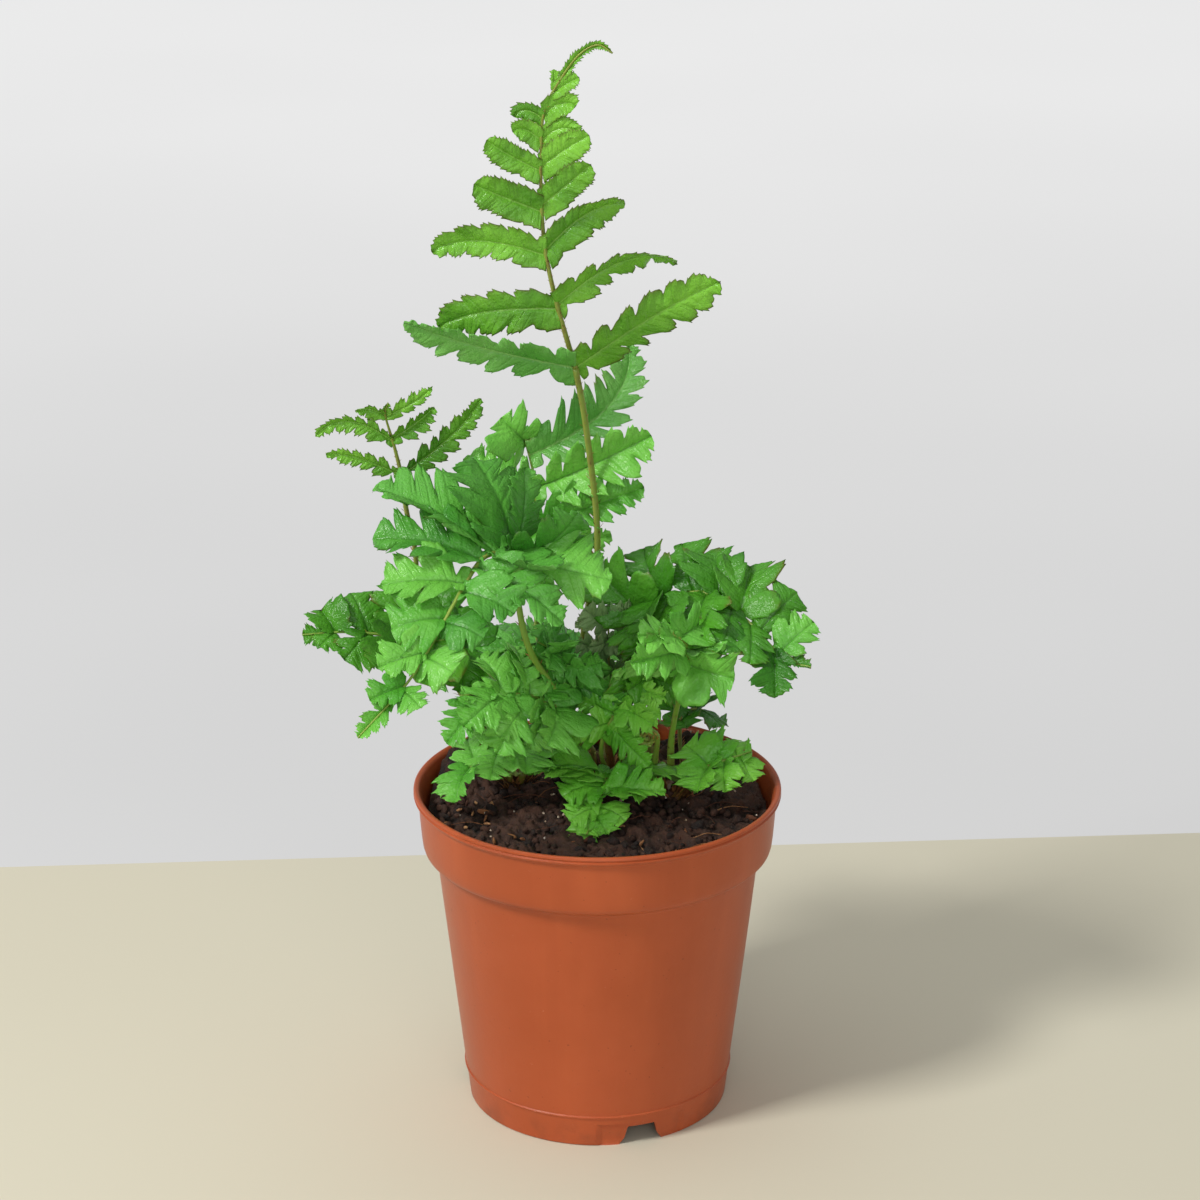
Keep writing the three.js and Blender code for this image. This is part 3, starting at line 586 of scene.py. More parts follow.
# Height, place and spread of the heaps at the rear wall and of the hollow at the front right.
HEAPS = [(10, -40, 19, 110), (9.5, 30, 31, 150)]
HOLLOW = (2.2, 30, -22, 500)


def swelling(x, y, height, at_x, at_y, spread):
    """A round heap, highest at one place."""
    return height * np.exp(-((x - at_x) ** 2 + (y - at_y) ** 2) / spread)


def soil_level(x, y):
    """Height of the peat: mounded in the middle, heaped at the rear, sunk at the front right."""
    share = np.minimum(np.hypot(x, y) / SOIL_REACH, 1)
    base = SOIL_AT_WALL + SOIL_MOUND * np.cos(np.pi / 2 * share) ** 1.5
    heaps = swelling(x, y, *HEAPS[0]) + swelling(x, y, *HEAPS[1])
    return base + heaps - swelling(x, y, *HOLLOW)


def clods(x, y):
    """Fractal crumbs of the soil's surface, in millimetres."""
    total = np.zeros(len(x))
    for size, height in ((13, 1.7), (6, 1.9), (2.8, 1.5), (1.3, 0.8)):
        for k in range(len(x)):
            where = Vector((x[k] / size, y[k] / size, size))
            total[k] += height * (noise.noise(where) + 0.35 * abs(noise.noise(where * 2.1)))
    return total


def build_soil():
    rings, segments = 92, 300
    radius = 48.3 * np.linspace(0, 1, rings + 1)[1:] ** 0.85
    angle = 2 * np.pi * np.arange(segments) / segments
    x = (radius[:, None] * np.cos(angle)).ravel()
    y = (radius[:, None] * np.sin(angle)).ravel()
    z = soil_level(x, y) + clods(x, y)
    top = np.stack([x, y, z], -1)
    # Painted light and shade: the tone is lighter where clods stand higher and darker in the hollows.
    tone = np.clip(0.5 + 0.25 * (z - soil_level(x, y)), 0, 1)
    section = ((47.6, 82), (46, 78.5), (43.8, 76), (38, 20), (37, 11.6))
    wall = [circle(r, h, angle) for r, h in section]
    points = np.concatenate([top] + wall + [np.array([[0, 0, 91.0]])])
    values = np.zeros((len(points), 4))
    values[:len(tone), 2] = tone
    values[len(tone):, 2] = 0.4
    index, quads = ring_quads(rings + len(wall), segments)
    pile = Pile()
    pile.add(place(points), quads[:, [0, 3, 2, 1]], values)
    middle = len(points) - 1
    for k in range(segments):
        pile.faces.append([middle, int(index[0][k]), int(index[0][(k + 1) % segments])])
        pile.slots.append(0)
    pile.faces.append(index[-1][::-1].tolist())
    pile.slots.append(0)
    finish_piece(pile.build("peat_surface", [PEAT]), "peat_soil", "soil")


def ball(detail):
    made = bmesh.new()
    bmesh.ops.create_icosphere(made, subdivisions=detail, radius=1)
    points = np.array([v.co[:] for v in made.verts])
    faces = [[v.index for v in f.verts] for f in made.faces]
    made.free()
    return points, faces


def spin(rng):
    """A random turn."""
    a, b, c = (rng.uniform(0, 2 * math.pi) for _ in range(3))
    turn = Matrix.Rotation(a, 3, "Z") @ Matrix.Rotation(b, 3, "X") @ Matrix.Rotation(c, 3, "Y")
    return np.array(turn)


def scatter(rng, reach=47):
    """A spot on the soil."""
    r = reach * math.sqrt(rng.random())
    a = rng.uniform(0, 2 * math.pi)
    x, y = r * math.cos(a), r * math.sin(a)
    return x, y, float(soil_level(x, y))


CRUMBS, CHIP_COUNT, FIBRES = 860, 150, 46


def build_crumbs():
    """Loose peat crumbs lying on the surface."""
    rng = random.Random(11)
    pile = Pile()
    shapes = {1: ball(2), 2: ball(3)}
    for k in range(CRUMBS):
        x, y, z = scatter(rng)
        size = rng.choice([0.7, 0.9, 1.1, 1.5]) * rng.uniform(0.8, 1.3)
        if x < -18 and y > 0:
            size *= 1.5
        if math.hypot(x, y) + size > 47.6:
            continue
        points, faces = shapes[2 if size > 1.9 else 1]
        lumps = np.array([noise.noise(Vector(p) * 1.6 + Vector((k, 0, 0))) for p in points])
        fine = np.array([noise.noise(Vector(p) * 4.3 + Vector((0, k, 0))) for p in points])
        shaped = points * (1 + 0.55 * lumps + 0.3 * fine)[:, None]
        shaped = shaped * [1, rng.uniform(0.6, 1), rng.uniform(0.5, 0.9)]
        shaped = shaped @ spin(rng).T * size + [x, y, z + rng.uniform(0.2, 1.3)]
        pile.add(place(shaped), faces, [0, 0, rng.uniform(0.2, 1), 0])
    finish_piece(pile.build("peat_crumbs", [PEAT]), "peat_soil")


def build_litter():
    """Bark chips, pale mineral grains and thin root fibres."""
    rng = random.Random(23)
    pile = Pile()
    points, faces = ball(2)
    for k in range(CHIP_COUNT):
        x, y, z = scatter(rng, 46)
        pale = rng.random() < 0.4
        size = rng.uniform(0.28, 0.55) if pale else rng.uniform(0.8, 1.7)
        flat = [1, 0.8, 0.75] if pale else [1.2, rng.uniform(0.3, 0.6), 0.3]
        bumps = np.array([noise.noise(Vector(p) * 2.2 + Vector((k, 9, 0))) for p in points])
        shaped = points * (1 + 0.4 * bumps)[:, None] * flat
        shaped = shaped @ spin(rng).T * size + [x, y, z + rng.uniform(0.6, 1.5)]
        tone = rng.uniform(0.86, 1) if pale else rng.uniform(0, 0.75)
        pile.add(place(shaped), faces, [0, 0, tone, 0])
    for _ in range(FIBRES):
        x, y, z = scatter(rng, 43)
        heading = rng.uniform(0, 2 * math.pi)
        length = rng.uniform(5, 13)
        knots = []
        for step in range(5):
            lift = z + 1.5 + 1.4 * math.sin(math.pi * step / 4) * rng.uniform(0.2, 1)
            knots.append((x, y, lift))
            heading += rng.uniform(-0.7, 0.7)
            x += length / 4 * math.cos(heading)
            y += length / 4 * math.sin(heading)
            if math.hypot(x, y) > 46.5:
                break
        if len(knots) > 2:
            tone = rng.uniform(0.15, 0.7)
            girth = rng.uniform(0.1, 0.2)
            look = (0, 0, tone, 0)
            tube(pile, Line(knots, 6), lambda t: girth * (1 - 0.5 * t), 5, 0.9, lambda t, a: look)
    finish_piece(pile.build("bark_and_fibres", [CHIPS]), "peat_soil")


build_soil()
build_crumbs()
build_litter()


# ------------------------------------------------------------------ scales


def flake(pile, base, along, out, length, width, tone, slot=0, curl=0.25):
    """One papery lance-shaped scale, closed, curling off its support."""
    along = unit(np.array(along, float))
    out = unit(np.array(out, float) - along * np.dot(out, along))
    across = np.cross(along, out)
    share = np.array([0.0, 0.25, 0.55, 0.8, 1.0])
    wide = width * np.array([0.5, 1.0, 0.8, 0.45, 0.05]) / 2
    thick = 0.07 * np.array([1.0, 1.0, 0.9, 0.7, 0.3])
    spine = base + along * (share * length)[:, None] + out * (curl * length * share ** 2)[:, None]
    ring = [across * wide[:, None], out * thick[:, None], -across * wide[:, None], -out * thick[:, None]]
    points = np.stack([spine + offset for offset in ring], 1).reshape(-1, 3)
    index, quads = ring_quads(len(share), len(ring))
    quads = quads.tolist() + [index[0][::-1].tolist(), index[-1].tolist()]
    pile.add(place(points), quads, [0, 0, tone, 0], slot)


def scaly(pile, line, radius, every, length, slot, rng, reach=1.0):
    """Scales scattered along a stalk, denser at its foot."""
    share = 0.0
    while share < reach:
        point, along = line.at(share), line.direction(share)
        out = unit(np.cross(along, [rng.uniform(-1, 1), rng.uniform(-1, 1), rng.uniform(-1, 1)]))
        size = length * rng.uniform(0.6, 1.3) * (1 - 0.5 * share)
        base = point + out * radius * 0.9
        flake(pile, base, unit(along + out * 0.5), out, size, size * 0.3, rng.random(), slot)
        share += every / line.length * rng.uniform(0.5, 1.5) * (0.5 + share)


# ------------------------------------------------------------------ the fronds
#
# stalk:  points up the bare stalk, in millimetres from the pot's axis
# rachis: points along the leafy midrib, from the lowest pinnae to the tip
# face:   the way the blade's upper side looks
# pinnae: either [at, tip, width, bow]: the share of the rachis, where its tip is, and
#         how far it bulges to the upper side;
#         or [at, angle, length, width, sweep, lift, curl]: the angle from the rachis,
#         + left and - right, its bend towards the frond's tip, and its slope off the
#         blade's plane, at the start and gained on the way
# pairs:  [count, longest, widest] of evenly spaced pinnae

FRONDS = [
    {"name": "tall", "radius": 1.1, "face": [0, -1, 0.15],
     "stalk": [[4, 16, 94], [1, 15, 119], [-4, 14, 134], [0, 10, 164], [-3, 6, 199], [-6, 3, 218]],
     "rachis": [[-6, 3, 218], [-11, 0, 237], [-14, -1, 252], [-15, -2, 266], [-15, -3, 280],
         [-14, -4, 291], [-10, -5, 299], [-5, -6, 306], [0, -7, 309], [4, -8, 307]],
     "pinnae": [[0, 58, 50, 15, 8, 10, -10], [0, -64, 49, 15, -12, 12, 0],
         [0.18, 74, 34, 13, -38, 5, -20], [0.19, -60, 38, 12, -80, 10, -30],
         [0.33, 62, 32, 11, -50, 5, -10], [0.345, -50, 26, 10.5, -50, 5, -10],
         [0.45, 65, 20, 10.5, 5, 5, 0], [0.465, -50, 18, 8.5, 0, 5, 0],
         [0.56, 62, 17, 8.5, 10, 5, 0], [0.57, -50, 16, 8, -12, 5, 0], [0.64, 45, 9, 6, -80, 5, 0],
         [0.64, -42, 12, 6, -110, 5, 0], [0.7, 60, 9, 5, -110, 0, 0], [0.71, -34, 10, 7, -90, 0, 0],
         [0.78, -30, 8, 5, 0, 0, 0], [0.79, 35, 5, 3, 0, 0, 0]]},
    {"name": "slender", "radius": 0.9, "face": [0.1, -1, 0.2],
     "stalk": [[-25, 18, 94], [-38, 21, 113], [-48, 22, 131], [-51, 20, 147], [-52, 19, 161],
         [-54, 18, 172], [-55, 16, 183]],
     "rachis": [[-55, 16, 183], [-57, 14, 193], [-59, 12, 202], [-58, 10, 206]],
     "pinnae": [[0, 48, 23, 7, -25, 0, 0], [0, -66, 32, 8, 25, 0, 0], [0.45, 36, 25, 6, -100, 0, 0],
         [0.48, -72, 15, 7, 15, 0, 0], [0.8, 50, 9, 4.5, -60, 0, 0], [0.78, -76, 16, 5, 30, 0, 0]]},
    {"name": "arching", "radius": 1.1, "face": [-0.1, -0.8, 0.6],
     "stalk": [[-1, 9.5, 94], [-11, 0, 122], [-19, -8, 140], [-22, -12, 156], [-23, -15, 168]],
     "rachis": [[-23, -15, 168], [-26, -19, 172], [-31, -26, 173], [-36, -35, 168], [-42, -46, 160],
         [-50, -56, 149], [-63, -66, 137]],
     "pinnae": [[0, [-34, -4, 195], 22, 3], [0.01, [-20, -8, 193], 11, 2],
         [0.02, [-5, -20, 184], 17, 3], [0.05, [4, -26, 167], 16, 4],
         [0.12, [-61, -14, 189], 17, 3], [0.14, [-11, -36, 174], 11, -2],
         [0.2, [-61, -24, 178], 14, 3], [0.24, [-9, -36, 158], 12, 3],
         [0.32, [-58, -36, 169], 12, 2], [0.36, [-22, -42, 163], 12, 2],
         [0.48, [-55, -46, 160], 12, 2], [0.5, [-30, -50, 159], 11, 2],
         [0.62, [-58, -56, 153], 9, 1], [0.64, [-38, -60, 153], 9, 1],
         [0.76, [-60, -62, 146], 6, 1], [0.78, [-46, -67, 146], 6, 1]]},
    {"name": "back", "radius": 1, "face": [0, -0.9, 0.45],
     "stalk": [[0, 21, 94], [-12, 21, 117], [-17, 19, 133], [-17, 16, 152], [-17, 15, 160]],
     "rachis": [[-17, 15, 160], [-17, 16, 172], [-18, 17, 183], [-20, 19, 191], [-22, 21, 197]],
     "pinnae": [[0.05, [4, 14, 166], 8, 2], [0.1, [-34, 22, 172], 10, 2],
         [0.25, [13, 12, 181], 10, 3], [0.4, [-38, 22, 186], 12, 2], [0.5, [15, 12, 196], 13, 3],
         [0.75, -82, 46, 12, 75, 0, -15], [0.85, [-27, 16, 200], 12, 2]]},
    {"name": "right", "radius": 1, "face": [0.1, -0.5, 0.85],
     "stalk": [[18, 12, 94], [12, 12, 112], [10, 11, 130], [14, 9, 143]],
     "rachis": [[14, 9, 143], [20, 7, 149], [27, 5, 152], [34, 1, 152], [42, -5, 147],
         [52, -13, 139], [59, -17, 138]],
     "pinnae": [[0, [0, 14, 156], 14, 2], [0.05, [10, -6, 140], 14, 2],
         [0.12, [13, 20, 160], 14, 2], [0.2, [16, -10, 146], 14, 2], [0.28, [24, 18, 162], 13, 2],
         [0.35, [26, -14, 142], 13, 2], [0.42, [33, 14, 161], 12, 2], [0.5, [34, -18, 142], 12, 2],
         [0.55, [43, 10, 158], 12, 2], [0.62, [42, -20, 140], 10, 2], [0.68, [56, 0, 154], 11, 2],
         [0.78, [49, -24, 132], 9, 1], [0.82, [60, -8, 148], 8, 1]]},
    {"name": "left", "radius": 1, "face": [-0.1, -0.75, 0.65],
     "stalk": [[-6, 15, 94], [-19, 10, 114], [-30, 4, 128], [-38, 0, 137]],
     "rachis": [[-38, 0, 137], [-46, -3, 141], [-56, -6, 143], [-69, -8, 145], [-82, -10, 145]],
     "pinnae": [[0, [-37, 8, 146], 12, 2], [0.02, [-38, -12, 128], 12, 2],
         [0.15, [-46, 8, 154], 12, 2], [0.18, [-50, -18, 134], 12, 2], [0.38, [-58, 4, 156], 11, 2],
         [0.4, [-61, -18, 138], 10, 2], [0.6, [-69, 0, 154], 10, 2], [0.6, [-70, -17, 140], 9, 2],
         [0.8, [-77, -4, 150], 8, 1], [0.8, [-77, -14, 143], 7, 1]]},
    {"name": "right_front", "radius": 1, "face": [0, -0.6, 0.8],
     "stalk": [[21, 6, 95], [21, 4, 107], [22, 0, 117], [24, -5, 130], [24, -8, 136]],
     "rachis": [[24, -8, 136], [25, -12, 141], [23, -16, 146], [17, -20, 150]],
     "pinnae": [[0, [38, -16, 134], 12, 2], [0.05, [4, -16, 136], 13, 2],
         [0.35, [34, -12, 145], 10, 2], [0.35, [9, -24, 142], 10, 2], [0.65, [28, -10, 148], 9, 1],
         [0.7, [11, -22, 149], 8, 1]]},
    {"name": "lower_left", "radius": 0.9, "face": [-0.1, -0.6, 0.8],
     "stalk": [[-5, 11, 95], [-8, 4, 109], [-12, -3, 121]],
     "rachis": [[-12, -3, 121], [-19, -8, 126], [-29, -14, 129], [-38, -18, 130]],
     "pinnae": [[0, [-14, -16, 114], 12, 2], [0.05, [-14, 6, 130], 10, 2],
         [0.3, [-27, -22, 119], 12, 2], [0.3, [-24, 4, 136], 10, 2], [0.6, [-37, -24, 123], 10, 2],
         [0.6, [-33, -4, 136], 9, 2]]},
    {"name": "front_left", "radius": 0.8, "face": [-0.2, -0.5, 0.85],
     "stalk": [[-21, 12, 95], [-20, 6, 103], [-22, 2, 107]],
     "rachis": [[-22, 2, 107], [-27, -4, 108], [-35, -8, 105], [-45, -10, 97]],
     "pinnae": [[0, [-20, -12, 104], 10, 2], [0, [-20, 10, 110], 9, 2], [0.3, [-27, 10, 112], 9, 2],
         [0.3, [-30, -17, 104], 9, 2], [0.55, [-37, 4, 108], 9, 2], [0.6, [-40, -19, 98], 8, 2]]},
    {"name": "front", "radius": 0.8, "face": [0, -0.5, 0.85],
     "stalk": [[6, 9, 96], [5, 4, 99], [3, -1, 99]],
     "rachis": [[3, -1, 99], [2, -8, 99], [0, -18, 96], [-3, -27, 92]],
     "pinnae": [[0, [-16, -6, 103], 13, 2], [0.02, [34, 2, 95], 10, 4],
         [0.3, [-10, -14, 98], 10, 2], [0.3, [14, -14, 98], 11, 2], [0.6, [-8, -22, 94], 8, 1],
         [0.6, [8, -22, 94], 8, 1]]},
    {"name": "front_right", "radius": 0.8, "face": [0.1, -0.4, 0.9],
     "stalk": [[24.5, 7, 95], [28, 4, 99], [32, 1, 101]],
     "rachis": [[32, 1, 101], [36, 0, 103], [40, 1, 104], [44, 2, 105]],
     "pinnae": [[0, [25, 5, 106], 9, 1], [0, [28, -9, 97], 9, 1], [0.3, [31, 9, 107], 8, 1],
         [0.35, [36, -9, 97], 8, 1], [0.65, [38, 9, 106], 7, 1], [0.7, [44, -6, 99], 6, 1]]},
    {"name": "young", "radius": 0.8, "face": [0, -0.8, 0.6],
     "stalk": [[2.5, 10.5, 95], [1, 4, 104], [2, 1, 112]],
     "rachis": [[2, 1, 112], [5, 0, 117], [9, 1, 123], [14, 2, 129]],
     "pinnae": [[0, [-10, 0, 113], 8, 1], [0, [12, -5, 112], 8, 1], [0.3, [-6, 5, 121], 7, 1],
         [0.3, [18, -4, 119], 8, 1], [0.6, [2, 5, 127], 6, 1], [0.6, [17, 2, 124], 6, 1]]},
    {"name": "back_right", "radius": 0.8, "face": [0, -0.3, 0.95],
     "stalk": [[25, 14, 94], [24, 22, 99], [24, 28, 104]],
     "rachis": [[24, 28, 104], [28, 32, 106], [34, 35, 103], [38, 37, 99]],
     "pinnae": [[0, [18, 33, 111], 9, 1], [0, [26, 22, 104], 8, 1], [0.35, [29, 41, 106], 8, 1],
         [0.4, [36, 28, 102], 8, 1]]},
    {"name": "inner_dark", "radius": 0.8, "face": [0, -0.8, 0.6],
     "stalk": [[-2, 17, 95], [-7, 12, 112], [-6, 6, 122]],
     "rachis": [[-6, 6, 122], [-8, 2, 130], [-12, 0, 136], [-17, -2, 140]],
     "pinnae": [[0, [-20, -2, 124], 10, 1], [0, [6, 2, 124], 11, 1], [0.35, [-22, 2, 132], 9, 1],
         [0.35, [2, -2, 134], 10, 1], [0.7, [-14, 4, 143], 8, 1], [0.7, [-8, -6, 142], 8, 1]]},
    {"name": "inner_grey", "radius": 0.8, "face": [0, -1, 0.3],
     "stalk": [[7, 15, 95], [6, 14, 112], [4, 12, 124]],
     "rachis": [[4, 12, 124], [3, 11, 132], [3, 10, 140], [1, 10, 146]],
     "pinnae": [[0, [-4, 10, 126], 8, 1], [0, [11, 8, 128], 8, 1], [0.4, [-6, 8, 136], 7, 1],
         [0.4, [11, 6, 138], 7, 1], [0.75, [-4, 8, 146], 6, 1], [0.75, [8, 8, 146], 6, 1]]},
    {"name": "inner_right", "radius": 0.8, "face": [0, -0.8, 0.6],
     "stalk": [[14, 6, 94], [13, 6, 112], [14, 4, 126]],
     "rachis": [[14, 4, 126], [15, 2, 133], [18, 1, 139], [22, 0, 143]],
     "pinnae": [[0, [4, -2, 130], 10, 1], [0, [26, 0, 128], 10, 1], [0.4, [8, 2, 140], 8, 1],
         [0.4, [28, -3, 134], 8, 1]]},
    {"name": "rear_left", "radius": 0.9, "face": [-0.2, 0.1, 1],
     "stalk": [[-5, 20.5, 94], [-10, 30, 106], [-15, 38, 114]],
     "rachis": [[-15, 38, 114], [-20, 45, 119], [-26, 51, 121], [-33, 57, 120], [-40, 62, 116]],
     "pairs": [5, 20, 11]},
    {"name": "rear_right", "radius": 0.9, "face": [0.2, 0.1, 1],
     "stalk": [[8, 20, 94], [12, 30, 108], [15, 37, 116]],
     "rachis": [[15, 37, 116], [19, 43, 121], [24, 50, 123], [29, 57, 122], [34, 63, 117]],
     "pairs": [5, 20, 11]},
    {"name": "rear_low", "radius": 0.8, "face": [0, 0.1, 1],
     "stalk": [[2, 22, 94], [1, 32, 101], [-1, 40, 105]],
     "rachis": [[-1, 40, 105], [-2, 46, 107], [-2, 53, 106], [-1, 60, 101]],
     "pairs": [4, 16, 9]},
    {"name": "small", "radius": 0.7, "face": [-0.2, -0.9, 0.5],
     "stalk": [[-8, 13, 94], [-13, 7, 98], [-16, 3, 101]],
     "rachis": [[-16, 3, 101], [-17, 1, 104], [-18, 0, 107]],
     "pinnae": [[0, [-22, 1, 104], 6, 1], [0, [-11, 0, 103], 6, 1], [0.5, [-21, 0, 109], 5, 1],
         [0.5, [-14, -1, 109], 5, 1]]},
    {"name": "seedling", "radius": 0.6, "face": [-0.2, -0.7, 0.7],
     "stalk": [[-27.5, 11, 94], [-28, 8, 95.5]],
     "rachis": [[-28, 8, 95.5], [-29, 5, 97], [-30, 2, 98]],
     "pinnae": [[0, [-33, 7, 97], 4, 0.5], [0, [-23, 5, 96.5], 4, 0.5], [0.5, [-34, 3, 98], 4, 0.5],
         [0.5, [-25, 1, 98], 4, 0.5]]},
]


class Habit:
    """How a frond's leaf tissue is cut: base and bluntness of a pinna, lobes and teeth."""

    def __init__(self, wide, base, blunt, pitch, depth, teeth, tooth, keel, fold, ruffle, point):
        self.wide, self.point = wide, point
        self.base, self.blunt, self.pitch, self.depth = base, blunt, pitch, depth
        self.teeth, self.tooth, self.keel = teeth, tooth, keel
        self.fold, self.ruffle = fold, ruffle


TOOTHED = Habit(0.98, 0.85, 5.0, 5.8, 0.6, 4, 0.8, 0.1, 0.2, 0.7, 0.3)
NARROW = Habit(1.15, 0.4, 2.2, 5.4, 0.5, 3, 0.8, 0.12, 0.35, 1.2, 0.7)
LOBED = Habit(1.65, 0.4, 2.8, 5.0, 0.56, 3, 0.95, 0.1, 0.4, 1.3, 0.65)
DEEP = Habit(1.65, 0.36, 3.0, 6.0, 0.56, 4, 1.0, 0.1, 0.4, 1.4, 0.55)
SMALL = Habit(1.5, 0.35, 3.2, 3.2, 0.6, 3, 0.6, 0.1, 0.4, 0.9, 0.6)

# Each frond's cut, leaf materials (its own, then the one its exceptions take) and stalk.
LOOKS = {
    "tall": (TOOTHED, ("tall", "pale"), STALK),
    "slender": (NARROW, ("tall", "deep"), STALK),
    "arching": (DEEP, ("dark", "light"), STALK_GREEN),
    "back": (LOBED, ("light", "pale"), STALK_GREEN),
    "right": (DEEP, ("deep", "light"), STALK_GREEN),
    "left": (DEEP, ("deep", "dark"), STALK_GREEN),
    "right_front": (LOBED, ("light", "fresh"), STALK_GREEN),
    "lower_left": (LOBED, ("light", "dark"), STALK_GREEN),
    "front_left": (LOBED, ("light", "fresh"), STALK_GREEN),
    "front": (LOBED, ("fresh", "light"), STALK_GREEN),
    "front_right": (LOBED, ("fresh", "deep"), STALK_GREEN),
    "young": (LOBED, ("fresh", "light"), STALK_GREEN),
    "back_right": (LOBED, ("deep", "wilted"), STALK),
    "inner_dark": (LOBED, ("dark", "deep"), STALK_GREEN),
    "inner_grey": (LOBED, ("wilted", "dark"), STALK),
    "inner_right": (LOBED, ("deep", "light"), STALK_GREEN),
    "rear_left": (LOBED, ("dark", "light"), STALK_GREEN),
    "rear_right": (LOBED, ("deep", "light"), STALK_GREEN),
    "rear_low": (LOBED, ("light", "dark"), STALK_GREEN),
    "small": (SMALL, ("fresh", "light"), STALK_GREEN),
    "seedling": (SMALL, ("yellow", "light"), STALK_GREEN),
}

# Pinnae that take a frond's second leaf material, by their place in its list.
EXCEPTIONS = {
    "tall": (0,),
    "arching": (3, 8, 10, 12, 13, 14, 15, 16),
    "right": (12,),
    "back": (5,),
    "lower_left": (1,),
}

# Pinnae turned about their midribs, in degrees at the base and at the tip.
ROLLS = {
    ("tall", 0): (18, 34),
    ("tall", 1): (-24, 12),
    ("tall", 3): (-10, -60),
    ("tall", 5): (0, -50),
    ("arching", 3): (0, 45),
}

CROWDED = ("young", "inner_dark", "inner_grey", "inner_right", "lower_left", "front")
TIP_WIDTH = {"tall": 2.6, "slender": 3, "small": 3, "seedling": 2.5}
TERMINAL = 0.82
ROW = 0.3
COLUMNS = np.array([-1, -0.9, -0.74, -0.52, -0.3, -0.11, 0, 0.11, 0.3, 0.52, 0.74, 0.9, 1])
LEAF_THICKNESS = 0.26


def blade_frame(line, share, face):
    """The rachis' place, its direction, the blade's upper side and its sideways."""
    along = line.direction(share)
    up = np.array(face, float)
    up = unit(up - along * (up @ along))
    return line.at(share), along, up, np.cross(along, up)


def paired_pinnae(count, longest, widest):
    """Evenly spaced pinnae, shorter and more forward towards the tip."""
    rows = []
    for k in range(count):
        t = k / count
        length = longest * (1 - 0.85 * t ** 1.6)
        width = widest * (1 - 0.6 * t)
        sway = 4 * math.sin(2.4 * k)
        rows.append([0.92 * t, 68 - 18 * t + sway, length, width, -20, 8, -30])
        rows.append([0.92 * t + 0.02, -(68 - 18 * t) + sway, length, width, -20, 8, -30])
    return rows


def pinna_midrib(rachis, face, row):
    """A pinna's midrib, the side it faces and its width."""
    point, along, up, side = blade_frame(rachis, row[0], face)
    if isinstance(row[1], list):
        tip = np.array(row[1], float)
        ahead = unit(tip - point)
        over = unit(up - ahead * (up @ ahead))
        middle = (point + tip) / 2 + over * 2 * row[3]
        t = np.linspace(0, 1, 9)[:, None]
        return (1 - t) ** 2 * point + 2 * t * (1 - t) * middle + t ** 2 * tip, over, row[2]
    _, angle, length, width, sweep, lift, curl = row
    steps = 8
    sign = -1 if angle > 0 else 1
    points = [point]
    for k in range(steps):
        t = (k + 0.5) / steps
        turn = math.radians(abs(angle) - sweep * t * t)
        slope = math.radians(lift + curl * t)
        step = along * math.cos(turn) + side * sign * math.sin(turn)
        points.append(points[-1] + (step * math.cos(slope) + up * math.sin(slope)) * length / steps)
    return np.array(points), up, width


def half_width(share, length, width, habit, rng, pitch, depth):
    """Half the width of a leaf along its length, cut into pointed lobes and bristle teeth."""
    swell = habit.base + (1 - habit.base) * smooth(share / 0.22)
    body = habit.wide * width / 2 * swell * (1 - share ** habit.blunt) ** 0.5 * (1 - 0.12 * share)
    seed = rng.uniform(0, 40)
    along = share * length
    count = along / pitch + rng.random() + 0.22 * wander(along * 0.5, 0, seed)
    phase = count % 1
    vigour = 1 + 0.16 * np.sin(12.9 * np.floor(count) + seed)
    cut = np.exp(-(np.minimum(phase / 0.17, (1 - phase) / 0.1)) ** 2)
    pointed = habit.point * np.abs(2 * phase - 1.16) ** 1.15
    inner = smooth(along / 2.5) * (1 - 0.5 * share)
    body = body * (vigour - depth * (pointed + 0.72 * cut) * inner)
    bite = (phase * habit.teeth + 0.1) % 1
    tooth = habit.tooth * (bite ** 2.2 - 0.3) * smooth(body / 1.2) * smooth(along / 3)
    body = body + tooth + 0.3 * wander(along * 0.8, 0, seed + 9)
    body = np.maximum(body, 0.05)
    body[-1] = 0.02
    return body, phase


